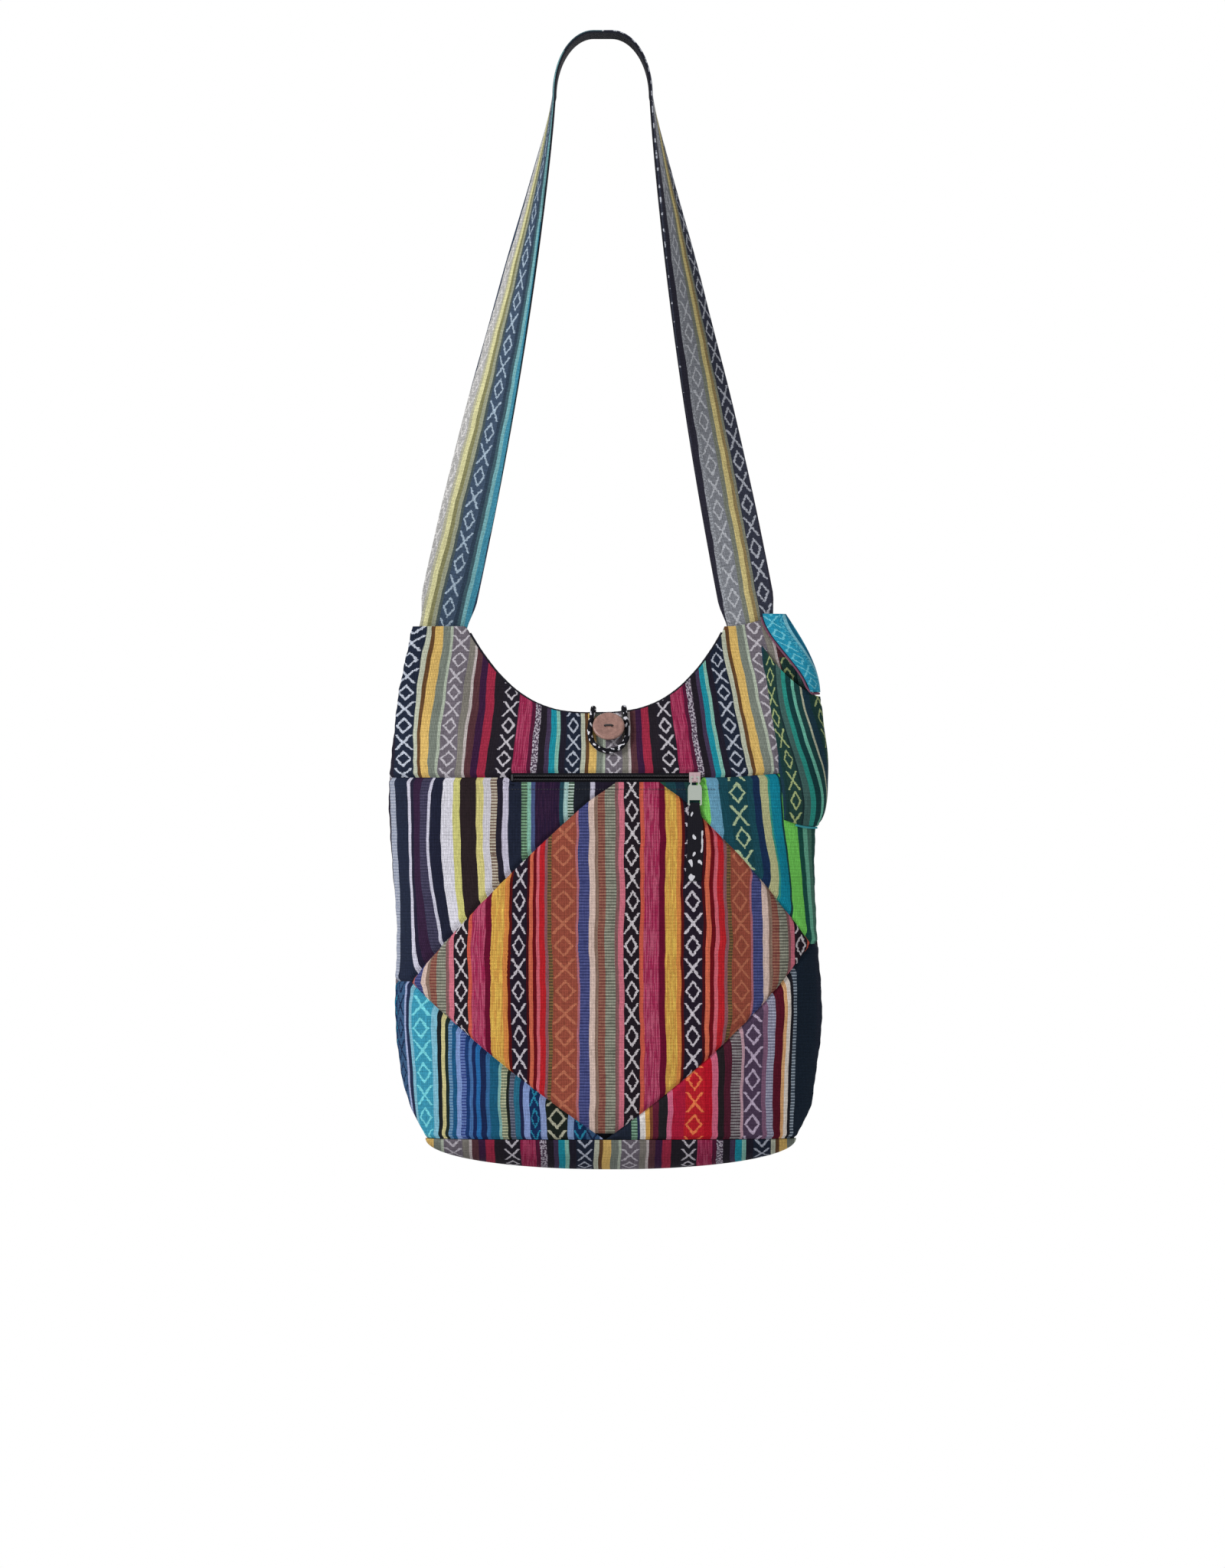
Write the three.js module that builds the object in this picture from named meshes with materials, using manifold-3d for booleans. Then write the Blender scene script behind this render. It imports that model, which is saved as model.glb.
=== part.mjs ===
// A patchwork shoulder bag of striped handwoven cotton, hanging by its strap.
// Units are millimetres and +Z is up. The origin is the underside of the strap's crown, where a hook or
// a shoulder holds it. The front of the bag faces -Y. Heights below are measured from the bag's lowest point.
import * as THREE from "three";
import Module from "manifold-3d";
import { mergeVertices } from "three/addons/utils/BufferGeometryUtils.js";

const wasm = await Module();
wasm.setup();

// Driving dimensions of the bag's body
const bodyWidth = 380;
const bodyDepth = 100;
const tipHeight = 487;
const neckHeight = 409;
const yokeSeamHeight = 350.5;
const bandHeight = 28;
const neckRise = 73;
const neckLowX = -11;
const neckLeftReach = 108;
const neckRightReach = 117;
const clothThickness = 1.6;
const seamGap = 0.4;

// The diamond patch on the front
const diamondLeftHeight = 168.6;
const diamondRightHeight = 202;
const diamondLeftX = -172;
const diamondRightX = 187;
const diamondBottomX = 2;
const diamondTopLeftX = 12;
const diamondTopRightX = 51;
const diamondBulge = 8;
const diamondLowRightBulge = 15;

// The strap: two lengths joined at the crown over one lining
const strapWidth = 50;
const strapEndWidth = 42;
const strapCloth = 1.5;
const strapLiningThickness = 1.2;
const strapTuck = 18;
const strapDrop = 527;
const crownHalfSpan = 43;
const crownArchHeight = 54;
const strapFootLeftX = -146;
const strapFootRightX = 136;

// The zip across the front, its slider and its pull
const zipLeftX = -83;
const zipRightX = 88;
const zipSlotHeight = 8;
const coilHeight = 2;
const coilGap = 1.4;
const coilDepth = 1.5;
const tapeThickness = 0.6;
const tapeHeight = 9;
const sliderLength = 10;
const sliderHeight = 9;
const plateThickness = 1.2;
const pullerWidth = 12.4;
const pullerLength = 26;
const pullerThickness = 1.3;
const pullStripLength = 66;
const pullStripWidth = 11.5;
const pullStripThickness = 1.6;

// The coconut button, its thread and the closure loop
const buttonDiameter = 28.5;
const buttonThickness = 3.6;
const buttonX = 5.4;
const buttonHeight = 392;
const threadHoleDiameter = 2.6;
const threadHoleSpacing = 6;
const threadDiameter = 1.6;
const loopDiameter = 5;

// The phone pocket on the right side and its flap
const pocketBottomHeight = 307;
const pocketMouthHeight = 423;
const pocketShoulderHeight = 468;
const pocketDepth = 9;
const pocketCloth = 1.4;
const flapTopHeight = 497;
const flapLength = 70;
const flapBottomHeight = flapTopHeight - flapLength;
const flapCloth = 1.3;

// Clearances between layers that lie on each other
const layerGap = 0.4;
const runGap = 0.45;
const liningInset = 7;
const liningThickness = 0.8;

const hangHeight = tipHeight + strapDrop;

// Side outline of the body: height / tip height, then the left and the right edge / half the width.
const sideOutline = [
  [0.0, -0.834, 0.911],
  [0.0575, -0.834, 0.911],
  [0.113, -0.9, 0.977],
  [0.168, -0.942, 1.0],
  [0.281, -0.974, 1.032],
  [0.448, -0.968, 1.005],
  [0.56, -0.989, 0.995],
  [0.671, -1.005, 1.005],
  [0.727, -1.0, 1.005],
  [0.811, -0.979, 0.989],
  [0.867, -0.968, 0.968],
  [0.923, -0.942, 0.942],
  [1.0, -0.9, 0.853],
  [1.04, -0.88, 0.81],
];
// Depth profile: height / tip height, half depth / half the largest depth, share of the width that is flat.
const depthProfile = [
  [0.0, 0.7, 0.12],
  [0.0575, 0.7, 0.12],
  [0.123, 0.9, 0.12],
  [0.246, 1.0, 0.14],
  [0.41, 0.98, 0.18],
  [0.575, 0.9, 0.36],
  [0.66, 0.83, 0.48],
  [0.72, 0.765, 0.5],
  [0.78, 0.66, 0.52],
  [0.84, 0.32, 0.56],
  [0.9, 0.17, 0.68],
  [1.0, 0.1, 0.9],
  [1.04, 0.1, 0.9],
];
const sideRoundness = 2.2;

// Reads a column of a table at a height by a smooth curve through its rows.
function tableCurve(rows, column, scale) {
  const heights = rows.map((row) => row[0] * tipHeight);
  const values = rows.map((row) => row[column] * scale);
  const slopes = values.map((_, i) => {
    const before = Math.max(i - 1, 0);
    const after = Math.min(i + 1, values.length - 1);
    return (values[after] - values[before]) / (heights[after] - heights[before]);
  });
  return (height) => {
    let i = 0;
    while (i < heights.length - 2 && height > heights[i + 1]) i += 1;
    const span = heights[i + 1] - heights[i];
    const t = THREE.MathUtils.clamp((height - heights[i]) / span, 0, 1);
    const t2 = t * t;
    const t3 = t2 * t;
    return (
      (2 * t3 - 3 * t2 + 1) * values[i] +
      (t3 - 2 * t2 + t) * span * slopes[i] +
      (3 * t2 - 2 * t3) * values[i + 1] +
      (t3 - t2) * span * slopes[i + 1]
    );
  };
}
const leftEdge = tableCurve(sideOutline, 1, bodyWidth / 2);
const rightEdge = tableCurve(sideOutline, 2, bodyWidth / 2);
const halfDepth = tableCurve(depthProfile, 1, bodyDepth / 2);
const flatShare = tableCurve(depthProfile, 2, 1);
const centreX = (height) => (leftEdge(height) + rightEdge(height)) / 2;
const halfWidth = (height) => (rightEdge(height) - leftEdge(height)) / 2;

// How far out the wall stands at a share of the half width, from 1 in the middle to 0 at the side seam.
function wallShare(share, height) {
  const flat = flatShare(height);
  const past = THREE.MathUtils.clamp((Math.abs(share) - flat) / (1 - flat), 0, 1);
  return Math.pow(1 - Math.pow(past, sideRoundness), 1 / sideRoundness);
}

// A point of the body's wall: side is -1 for the front and 1 for the back, inset is the depth below the skin.
function wallPoint(share, height, inset, side, seam = seamGap / 2) {
  const x = centreX(height) + (halfWidth(height) - inset) * share;
  const y = side * (seam + Math.max(halfDepth(height) - inset - seam, 0.2) * wallShare(share, height));
  return new THREE.Vector3(x, y, height);
}
const shareAt = (x, height) => THREE.MathUtils.clamp((x - centreX(height)) / halfWidth(height), -1, 1);

const root = new THREE.Group();
const bag = new THREE.Group();
bag.position.z = -hangHeight;
root.add(bag);

function cloth(colour, roughness = 0.95) {
  return new THREE.MeshStandardMaterial({ color: colour, roughness, metalness: 0 });
}

// Turns triangle corners into a mesh geometry with shared corners, no empty triangles and faces outwards.
function closedGeometry(corners) {
  const flat = new Float32Array(corners.length * 3);
  corners.forEach((p, i) => p.toArray(flat, i * 3));
  const loose = new THREE.BufferGeometry();
  loose.setAttribute("position", new THREE.BufferAttribute(flat, 3));
  return facingOut(mergeVertices(loose, 1e-3));
}

function facingOut(geometry) {
  const index = geometry.index.array;
  const kept = [];
  const a = new THREE.Vector3();
  const b = new THREE.Vector3();
  const c = new THREE.Vector3();
  let volume = 0;
  for (let i = 0; i < index.length; i += 3) {
    const [p, q, r] = [index[i], index[i + 1], index[i + 2]];
    if (p === q || q === r || r === p) continue;
    kept.push(p, q, r);
    a.fromBufferAttribute(geometry.attributes.position, p);
    b.fromBufferAttribute(geometry.attributes.position, q);
    c.fromBufferAttribute(geometry.attributes.position, r);
    volume += a.dot(b.cross(c));
  }
  if (volume < 0) kept.reverse();
  geometry.setIndex(kept);
  geometry.computeVertexNormals();
  return geometry;
}

function addMesh(name, geometry, material, parent = bag) {
  const mesh = new THREE.Mesh(geometry, material);
  mesh.name = name;
  parent.add(mesh);
  return mesh;
}

function quad(corners, a, b, c, d) {
  corners.push(a, b, c, a, c, d);
}

// A wall between an outer and an inner grid of points, closed all round its rim.
function wallBetween(outer, inner) {
  const corners = [];
  const rows = outer.length - 1;
  const columns = outer[0].length - 1;
  for (let j = 0; j < rows; j += 1) {
    for (let i = 0; i < columns; i += 1) {
      quad(corners, outer[j][i], outer[j][i + 1], outer[j + 1][i + 1], outer[j + 1][i]);
      quad(corners, inner[j][i], inner[j + 1][i], inner[j + 1][i + 1], inner[j][i + 1]);
    }
  }
  for (let i = 0; i < columns; i += 1) {
    quad(corners, outer[0][i + 1], outer[0][i], inner[0][i], inner[0][i + 1]);
    quad(corners, outer[rows][i], outer[rows][i + 1], inner[rows][i + 1], inner[rows][i]);
  }
  for (let j = 0; j < rows; j += 1) {
    quad(corners, outer[j][0], outer[j + 1][0], inner[j + 1][0], inner[j][0]);
    quad(corners, outer[j + 1][columns], outer[j][columns], inner[j][columns], inner[j + 1][columns]);
  }
  return closedGeometry(corners);
}

// A cup between an outer and an inner set of rings that each start at a pole and end at an open rim.
function cupBetween(outerPole, outerRings, innerPole, innerRings) {
  const corners = [];
  const count = outerRings[0].length;
  const last = outerRings.length - 1;
  for (let i = 0; i < count; i += 1) {
    const n = (i + 1) % count;
    corners.push(outerPole, outerRings[0][n], outerRings[0][i]);
    corners.push(innerPole, innerRings[0][i], innerRings[0][n]);
    for (let j = 0; j < last; j += 1) {
      quad(corners, outerRings[j][i], outerRings[j][n], outerRings[j + 1][n], outerRings[j + 1][i]);
      quad(corners, innerRings[j][i], innerRings[j + 1][i], innerRings[j + 1][n], innerRings[j][n]);
    }
    quad(corners, outerRings[last][i], outerRings[last][n], innerRings[last][n], innerRings[last][i]);
  }
  return closedGeometry(corners);
}

function grid(rows, columns, pointAt) {
  return Array.from({ length: rows + 1 }, (_, j) =>
    Array.from({ length: columns + 1 }, (_, i) => pointAt(i / columns, j / rows)),
  );
}

const lerp = THREE.MathUtils.lerp;
const smoothstep = THREE.MathUtils.smoothstep;

// Seam and edge lines of the front

// Height of the yoke seam's edges, which climb a little to the right of the zip.
function yokeSeam(x, edge) {
  const climb = 5 * smoothstep(x, zipRightX + 10, bodyWidth / 2);
  return yokeSeamHeight + climb + (edge * seamGap) / 2;
}

// Height of the neckline: a low curve in the middle that rises steeply to the two tips.
function neckline(x) {
  const reach = x < neckLowX ? neckLeftReach : neckRightReach;
  const power = x < neckLowX ? 2.6 : 3;
  return neckHeight + neckRise * Math.pow(Math.abs(x - neckLowX) / reach, power);
}

// Height of the body's top at a share of its width: the neckline, or the tip that holds the strap.
// What lies below the neckline keeps its distance square to the line.
function topHeight(share, below) {
  const rightLift = share > 0 ? 8 * smoothstep(share, 0.7, 1) : 0;
  const highest = tipHeight + rightLift;
  const clears = (h) => h > neckline(wallPoint(share, h, 0, -1).x);
  let low = neckHeight * 0.9;
  let high = highest;
  if (!clears(high)) return high - below;
  for (let i = 0; i < 30; i += 1) {
    const middle = (low + high) / 2;
    if (clears(middle)) high = middle;
    else low = middle;
  }
  const x = wallPoint(share, low, 0, -1).x;
  const slope = Math.min(Math.abs(neckline(x + 0.5) - neckline(x - 0.5)), 2.4);
  return low - below * Math.hypot(1, slope);
}

// Columns of the body's wall stand closer together towards the side seams.
const columnShare = (t) => Math.sin((t - 0.5) * Math.PI);

// The zip's own frame: x along it, y into the bag from the skin, z up along the wall.
const zipTilt = Math.atan((halfDepth(yokeSeamHeight - 6) - halfDepth(yokeSeamHeight + 6)) / 12);
const zipFrame = new THREE.Group();
zipFrame.position.set(0, -halfDepth(yokeSeamHeight), yokeSeamHeight);
zipFrame.rotation.x = -zipTilt;
bag.add(zipFrame);
zipFrame.updateMatrix();

function bare(geometry) {
  geometry.deleteAttribute("normal");
  geometry.deleteAttribute("uv");
  return geometry;
}
function solidOf(geometry) {
  const merged = mergeVertices(bare(geometry.clone()), 1e-4);
  return new wasm.Manifold(
    new wasm.Mesh({
      numProp: 3,
      vertProperties: new Float32Array(merged.attributes.position.array),
      triVerts: new Uint32Array(merged.index.array),
    }),
  );
}
function boxSolid(x0, x1, y0, y1, z0, z1, place = new THREE.Matrix4()) {
  const box = new THREE.BoxGeometry(x1 - x0, y1 - y0, z1 - z0);
  box.translate((x0 + x1) / 2, (y0 + y1) / 2, (z0 + z1) / 2);
  return solidOf(box.applyMatrix4(place));
}
function geometryOf(solid) {
  const made = solid.getMesh();
  const geometry = new THREE.BufferGeometry();
  geometry.setAttribute("position", new THREE.BufferAttribute(new Float32Array(made.vertProperties), 3));
  geometry.setIndex(Array.from(made.triVerts));
  geometry.computeVertexNormals();
  return geometry;
}

// The zip's slot is cut through the yoke and the patches along their seam.
const slotSolid = boxSolid(
  zipLeftX, zipRightX, -4, clothThickness + 1, -zipSlotHeight / 2, zipSlotHeight / 2, zipFrame.matrix,
);
const withSlot = (geometry) => geometryOf(solidOf(geometry).subtract(slotSolid));

// The five front patches

const bindingSize = 2.4;
const frontBottom = bandHeight + seamGap;
const diamondFoot = bandHeight + 6;
const patchTop = (x) => yokeSeam(x, -1);

// The diamond's edges lean out between their corners, as stuffed cloth does.
function slantX(fromX, fromHeight, toX, toHeight, bulge) {
  return (height) => {
    const t = THREE.MathUtils.clamp((height - fromHeight) / (toHeight - fromHeight), 0, 1);
    return lerp(fromX, toX, t) + bulge * 4 * t * (1 - t);
  };
}
const diamondTop = yokeSeamHeight;
const lowerLeftSlant = slantX(diamondBottomX, bandHeight, diamondLeftX, diamondLeftHeight, -diamondBulge);
const upperLeftSlant = slantX(diamondLeftX, diamondLeftHeight, diamondTopLeftX, diamondTop, -diamondBulge);
const lowerRightSlant = slantX(diamondBottomX, bandHeight, diamondRightX, diamondRightHeight, diamondLowRightBulge);
const upperRightSlant = slantX(diamondRightX, diamondRightHeight, diamondTopRightX, diamondTop, diamondBulge);
const diamondLeft = (h) => (h < diamondLeftHeight ? lowerLeftSlant(h) : upperLeftSlant(h));
const diamondRight = (h) => (h < diamondRightHeight ? lowerRightSlant(h) : upperRightSlant(h));

// Rows are shared by all five patches, so that their edges run side by side.
const cornerHeights = [frontBottom, diamondFoot, diamondLeftHeight, diamondRightHeight, diamondTop];
function patchRows(from, to) {
  const rows = [];
  for (let i = 0; i < cornerHeights.length - 1; i += 1) {
    const span = cornerHeights[i + 1] - cornerHeights[i];
    const steps = Math.max(1, Math.round(span / 19));
    for (let k = 0; k < steps; k += 1) rows.push(cornerHeights[i] + (span * k) / steps);
  }
  rows.push(diamondTop);
  return rows.filter((h) => h > from - 0.01 && h < to + 0.01);
}

// A patch between a left and a right edge line, given as shares of the half width at each height.
function patch(name, colour, from, to, leftShare, rightShare, columns) {
  const rows = patchRows(from, to);
  const angle = (s) => Math.asin(THREE.MathUtils.clamp(s, -1, 1));
  const pointAt = (i, j, inset) => {
    const h = rows[j] + (j === 0 ? seamGap / 2 : 0) - (j === rows.length - 1 ? seamGap / 2 : 0);
    const share = Math.sin(lerp(angle(leftShare(h)), angle(rightShare(h)), i / columns));
    const p = wallPoint(share, h, inset, -1);
    const atTop = smoothstep(h, diamondTop - 24, diamondTop - seamGap / 2);
    return wallPoint(share, h + atTop * (patchTop(p.x) - diamondTop + seamGap / 2), inset, -1);
  };
  const layer = (inset) => rows.map((_, j) => Array.from({ length: columns + 1 }, (_u, i) => pointAt(i, j, inset)));
  const whole = wallBetween(layer(0), layer(clothThickness));
  addMesh(name, to === diamondTop ? withSlot(whole) : whole, cloth(colour));
}
const besideLine = (line, offset) => (h) => shareAt(line(h) + offset, h);
const sideLeft = () => -1;
const sideRight = () => 1;
const halfSeam = seamGap * 0.7;

patch("patch_upper_left", 0x2c2f45, diamondLeftHeight, diamondTop, sideLeft,
  besideLine(diamondLeft, -halfSeam), 10);
patch("patch_upper_right", 0x2f5a55, diamondRightHeight, diamondTop,
  besideLine(diamondRight, halfSeam), sideRight, 9);
patch("diamond_patch", 0x8a2f45, diamondFoot, diamondTop,
  besideLine(diamondLeft, halfSeam), besideLine(diamondRight, -halfSeam), 15);
patch("patch_lower_left", 0x2f4f8a, frontBottom, diamondLeftHeight, sideLeft,
  besideLine(lowerLeftSlant, -halfSeam), 11);
patch("patch_lower_right", 0x7a2540, frontBottom, diamondRightHeight,
  besideLine(lowerRightSlant, halfSeam), sideRight, 11);

// The yoke over the front, and the back panel: one piece from the bottom band to the neckline

function upperPanel(side, bottomAt, columns, lowRows, highRows) {
  const rows = lowRows + highRows;
  const layer = (depth) =>
    grid(rows, columns, (u, v) => {
      const share = columnShare(u);
      const seam = yokeSeam(wallPoint(share, yokeSeamHeight, depth, side).x, 1);
      const head = topHeight(share, bindingSize + seamGap);
      const row = Math.round(v * rows);
      const low = lerp(bottomAt(seam), seam, row / Math.max(lowRows, 1));
      const high = lerp(seam, head, (row - lowRows) / highRows);
      return wallPoint(share, row < lowRows ? low : high, depth, side);
    });
  return wallBetween(layer(0), layer(clothThickness));
}
const yokeColumns = 44;
const backColumns = 36;
addMesh("front_yoke", withSlot(upperPanel(-1, (seam) => seam, yokeColumns, 0, 9)), cloth(0x3a3140));
addMesh("back_panel", upperPanel(1, () => frontBottom, backColumns, 11, 9), cloth(0x3a3140));

// The bottom band closes the bag below the patches as a shallow cup. Its rings shrink from the band seam
// to a pole at the lowest point, along a round outline in front view and an arc in side view.
const bandOutline = 2.1;

function ring(scaleWidth, scaleDepth, height, section, inset, count, seam) {
  const points = [];
  for (const side of [-1, 1]) {
    for (let i = 0; i < count; i += 1) {
      const share = side * -1 * columnShare(i / count);
      const p = wallPoint(share, section, inset, side, seam);
      const x = centreX(section) + (p.x - centreX(section)) * scaleWidth;
      points.push(new THREE.Vector3(x, p.y * scaleDepth, height));
    }
  }
  return points;
}
function capRings(inset, count, steps, seam) {
  const rings = [];
  for (let k = 1; k <= steps; k += 1) {
    const angle = (Math.PI / 2) * (1 - k / steps);
    const width = Math.pow(Math.cos(angle), 2 / bandOutline);
    const height = inset + (bandHeight - inset) * (1 - Math.pow(Math.sin(angle), 2 / bandOutline));
    rings.push(ring(width, Math.cos(angle), height, bandHeight, inset, count, seam));
  }
  return rings;
}
const pole = (inset) => new THREE.Vector3(centreX(bandHeight), 0, inset);
addMesh(
  "bottom_band",
  cupBetween(pole(0), capRings(0, 24, 6, 0), pole(clothThickness), capRings(clothThickness, 24, 6, 0)),
  cloth(0x3a3140),
);

// The lining is a cotton bag inside the bag, open at the top just under the neckline.
const liningTop = neckHeight + 16;
const liningBelowNeck = 11;
function liningRings(inset) {
  const count = 14;
  const rows = 9;
  const rings = capRings(inset, count, 4, 0);
  for (let j = 1; j <= rows; j += 1) {
    const points = [];
    for (const side of [-1, 1]) {
      for (let i = 0; i < count; i += 1) {
        const share = side * -1 * columnShare(i / count);
        const head = Math.min(topHeight(share, liningBelowNeck), liningTop);
        points.push(wallPoint(share, lerp(bandHeight, head, j / rows), inset, side, 0));
      }
    }
    rings.push(points);
  }
  return rings;
}
addMesh(
  "lining",
  cupBetween(
    pole(liningInset),
    liningRings(liningInset),
    pole(liningInset + liningThickness),
    liningRings(liningInset + liningThickness),
  ),
  cloth(0x1b1d26),
);

// Tubes and bars that follow a line

// Sweeps a closed section, given in the line's own side and up directions, along points.
function sweep(points, section, sideAt, upAt) {
  const rings = points.map((p, k) => {
    const side = sideAt(k);
    const up = upAt(k);
    return section(k).map(([s, u]) => p.clone().addScaledVector(side, s).addScaledVector(up, u));
  });
  const corners = [];
  const count = rings[0].length;
  for (let k = 0; k < rings.length - 1; k += 1) {
    for (let i = 0; i < count; i += 1) {
      const n = (i + 1) % count;
      const [a, b, c, d] = [rings[k][i], rings[k][n], rings[k + 1][n], rings[k + 1][i]];
      // The two sides of a twisted band are cut along the same diagonal, so its thickness stays even.
      if (i < count / 2) quad(corners, a, b, c, d);
      else quad(corners, b, c, d, a);
    }
  }
  const first = rings[0];
  const last = rings[rings.length - 1];
  for (let i = 1; i < count - 1; i += 1) {
    corners.push(first[0], first[i + 1], first[i], last[0], last[i], last[i + 1]);
  }
  return closedGeometry(corners);
}
const rectangle = (width, height) => [
  [-width / 2, -height / 2],
  [width / 2, -height / 2],
  [width / 2, height / 2],
  [-width / 2, height / 2],
];
const polygon = (radius, sides) =>
  Array.from({ length: sides }, (_, i) => {
    const angle = ((i + 0.5) / sides) * 2 * Math.PI;
    return [radius * Math.cos(angle), radius * Math.sin(angle)];
  });

function roundTube(name, points, diameter, material, parent = bag) {
  const steps = points.length - 1;
  const tangent = (k) => points[Math.min(k + 1, steps)].clone().sub(points[Math.max(k - 1, 0)]).normalize();
  const sides = [];
  let side = new THREE.Vector3(0, 0, 1).cross(tangent(0));
  if (side.length() < 0.2) side = new THREE.Vector3(0, 1, 0).cross(tangent(0));
  for (let k = 0; k <= steps; k += 1) {
    side = side.clone().addScaledVector(tangent(k), -side.dot(tangent(k))).normalize();
    sides.push(side);
  }
  const up = (k) => tangent(k).cross(sides[k]);
  addMesh(name, sweep(points, () => polygon(diameter / 2, 6), (k) => sides[k], up), material, parent);
}

// The neckline bindings: rolled edges of dark cotton along the front and the back of the mouth
function binding(name, side, columns) {
  const shares = Array.from({ length: columns + 1 }, (_, i) => columnShare(i / columns));
  const inMouth = shares.filter((share) => topHeight(share, 0) < tipHeight - 4);
  const points = inMouth.map((share) => wallPoint(share, topHeight(share, bindingSize / 2), clothThickness / 2, side));
  roundTube(name, points, bindingSize, cloth(0x15161c));
}
binding("neckline_binding_front", -1, yokeColumns);
binding("neckline_binding_back", 1, backColumns);

// The strap: a ribbon that stands flat to the front at the tips and turns to lie across the crown

const strapThickness = strapCloth + layerGap + strapLiningThickness;
const crownHeight = hangHeight + strapThickness / 2;
const archFoot = crownHeight - crownArchHeight;
const crownFlat = 16;

// Centre line of one half of the strap, from inside its tip to the crown.
function strapLine(footX) {
  const side = Math.sign(footX);
  const footHeight = tipHeight - strapTuck;
  const straight = new THREE.CubicBezierCurve3(
    new THREE.Vector3(footX, 0, footHeight),
    new THREE.Vector3(lerp(footX, side * crownHalfSpan, 0.36), 0, lerp(footHeight, archFoot, 0.36)),
    new THREE.Vector3(side * (crownHalfSpan + 8), 0, archFoot - 60),
    new THREE.Vector3(side * crownHalfSpan, 0, archFoot),
  );
  const points = straight.getSpacedPoints(22);
  const archSteps = 8;
  for (let k = 1; k <= archSteps; k += 1) {
    const angle = (Math.PI / 2) * (k / archSteps);
    const x = side * lerp(crownFlat / 2, crownHalfSpan, Math.cos(angle));
    points.push(new THREE.Vector3(x, 0, archFoot + crownArchHeight * Math.sin(angle)));
  }
  points.push(new THREE.Vector3((side * seamGap) / 2, 0, crownHeight));
  return points;
}

// Turn of the ribbon about its own line: none at the tips, a quarter turn at the crown.
function strapTurn(point) {
  const t = THREE.MathUtils.clamp((point.z - tipHeight) / (archFoot - tipHeight), 0, 1);
  return (Math.PI / 2) * Math.pow(t, 1.15);
}
function strapWidthAt(point) {
  return lerp(strapEndWidth, strapWidth, smoothstep(point.z, tipHeight, tipHeight + 26));
}

function ribbonFrames(points, side) {
  return points.map((p, k) => {
    const before = points[Math.max(k - 1, 0)];
    const after = points[Math.min(k + 1, points.length - 1)];
    const along = after.clone().sub(before).normalize();
    if (k >= points.length - 2) along.set(-side, 0, 0);
    const outward = new THREE.Vector3(side * Math.abs(along.z), 0, -along.x * side).normalize();
    if (k >= points.length - 2) outward.set(0, 0, 1);
    const turn = strapTurn(p);
    const front = new THREE.Vector3(0, -1, 0);
    const face = front.clone().multiplyScalar(Math.cos(turn)).addScaledVector(outward, Math.sin(turn));
    const across = outward.clone().multiplyScalar(Math.cos(turn)).addScaledVector(front, -Math.sin(turn));
    return { p, face, across, along };
  });
}

// One layer of the ribbon between two depths under its outer face.
function ribbon(frames, outerDepth, innerDepth) {
  return sweep(
    frames.map((f) => f.p),
    (k) => {
      const half = strapWidthAt(frames[k].p) / 2;
      return [
        [-half, outerDepth],
        [half, outerDepth],
        [half, innerDepth],
        [-half, innerDepth],
      ];
    },
    (k) => frames[k].across,
    (k) => frames[k].face,
  );
}
const leftFrames = ribbonFrames(strapLine(strapFootLeftX), -1);
const rightFrames = ribbonFrames(strapLine(strapFootRightX), 1);
const strapFace = strapThickness / 2;
const liningFace = strapFace - strapCloth - layerGap;
addMesh("strap_left", ribbon(leftFrames, strapFace, strapFace - strapCloth), cloth(0x5c5a52));
addMesh("strap_right", ribbon(rightFrames.toReversed(), strapFace, strapFace - strapCloth), cloth(0x5c5a52));

// The strap's lining is one length. It is flat for a short way at the crown, where the strap bears on a hook.
const liningFrames = [...leftFrames.slice(0, -1), ...rightFrames.slice(0, -1).reverse()];
addMesh("strap_lining", ribbon(liningFrames, liningFace, liningFace - strapLiningThickness), cloth(0x1d1e24));

// Zip: the coil halves and their tapes lie in the flat middle of the wall, under the slot

function bar(name, material, x0, x1, y0, y1, z0, z1, parent = zipFrame) {
  const box = new THREE.BoxGeometry(x1 - x0, y1 - y0, z1 - z0);
  box.translate((x0 + x1) / 2, (y0 + y1) / 2, (z0 + z1) / 2);
  return addMesh(name, box, material, parent);
}
const coilFront = 0.3;
const tapeFront = coilFront + coilDepth + layerGap;
const tapeBack = tapeFront + tapeThickness;
const zipBlack = cloth(0x16161a, 0.8);
const coilPlastic = new THREE.MeshStandardMaterial({ color: 0x1a1a1e, roughness: 0.45, metalness: 0 });
for (const [word, way] of [["upper", 1], ["lower", -1]]) {
  const near = (way * coilGap) / 2;
  const coilFar = near + way * coilHeight;
  const tapeFar = near + way * tapeHeight;
  const [c0, c1] = [Math.min(near, coilFar), Math.max(near, coilFar)];
  const [t0, t1] = [Math.min(near, tapeFar), Math.max(near, tapeFar)];
  bar("zip_coil_" + word, coilPlastic, zipLeftX + 4, zipRightX - 1, coilFront, coilFront + coilDepth, c0, c1);
  bar("zip_tape_" + word, zipBlack, zipLeftX - 4, zipRightX + 3, tapeFront, tapeBack, t0, t1);
}
const stopWidth = 1.8;
const stopHalf = coilGap / 2 + coilHeight;
bar("zip_stop_left", coilPlastic, zipLeftX + 1.6, zipLeftX + 1.6 + stopWidth, 0.2, tapeFront - 0.3, -stopHalf, stopHalf);

// The slider stands at the closed end. A thin web between the coil halves joins its two plates, and an
// arch on its face holds the puller.
const sliderX = zipRightX - 1 - sliderLength / 2;
const sliderFrame = new THREE.Group();
sliderFrame.position.set(sliderX, 0, 0);
zipFrame.add(sliderFrame);

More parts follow.
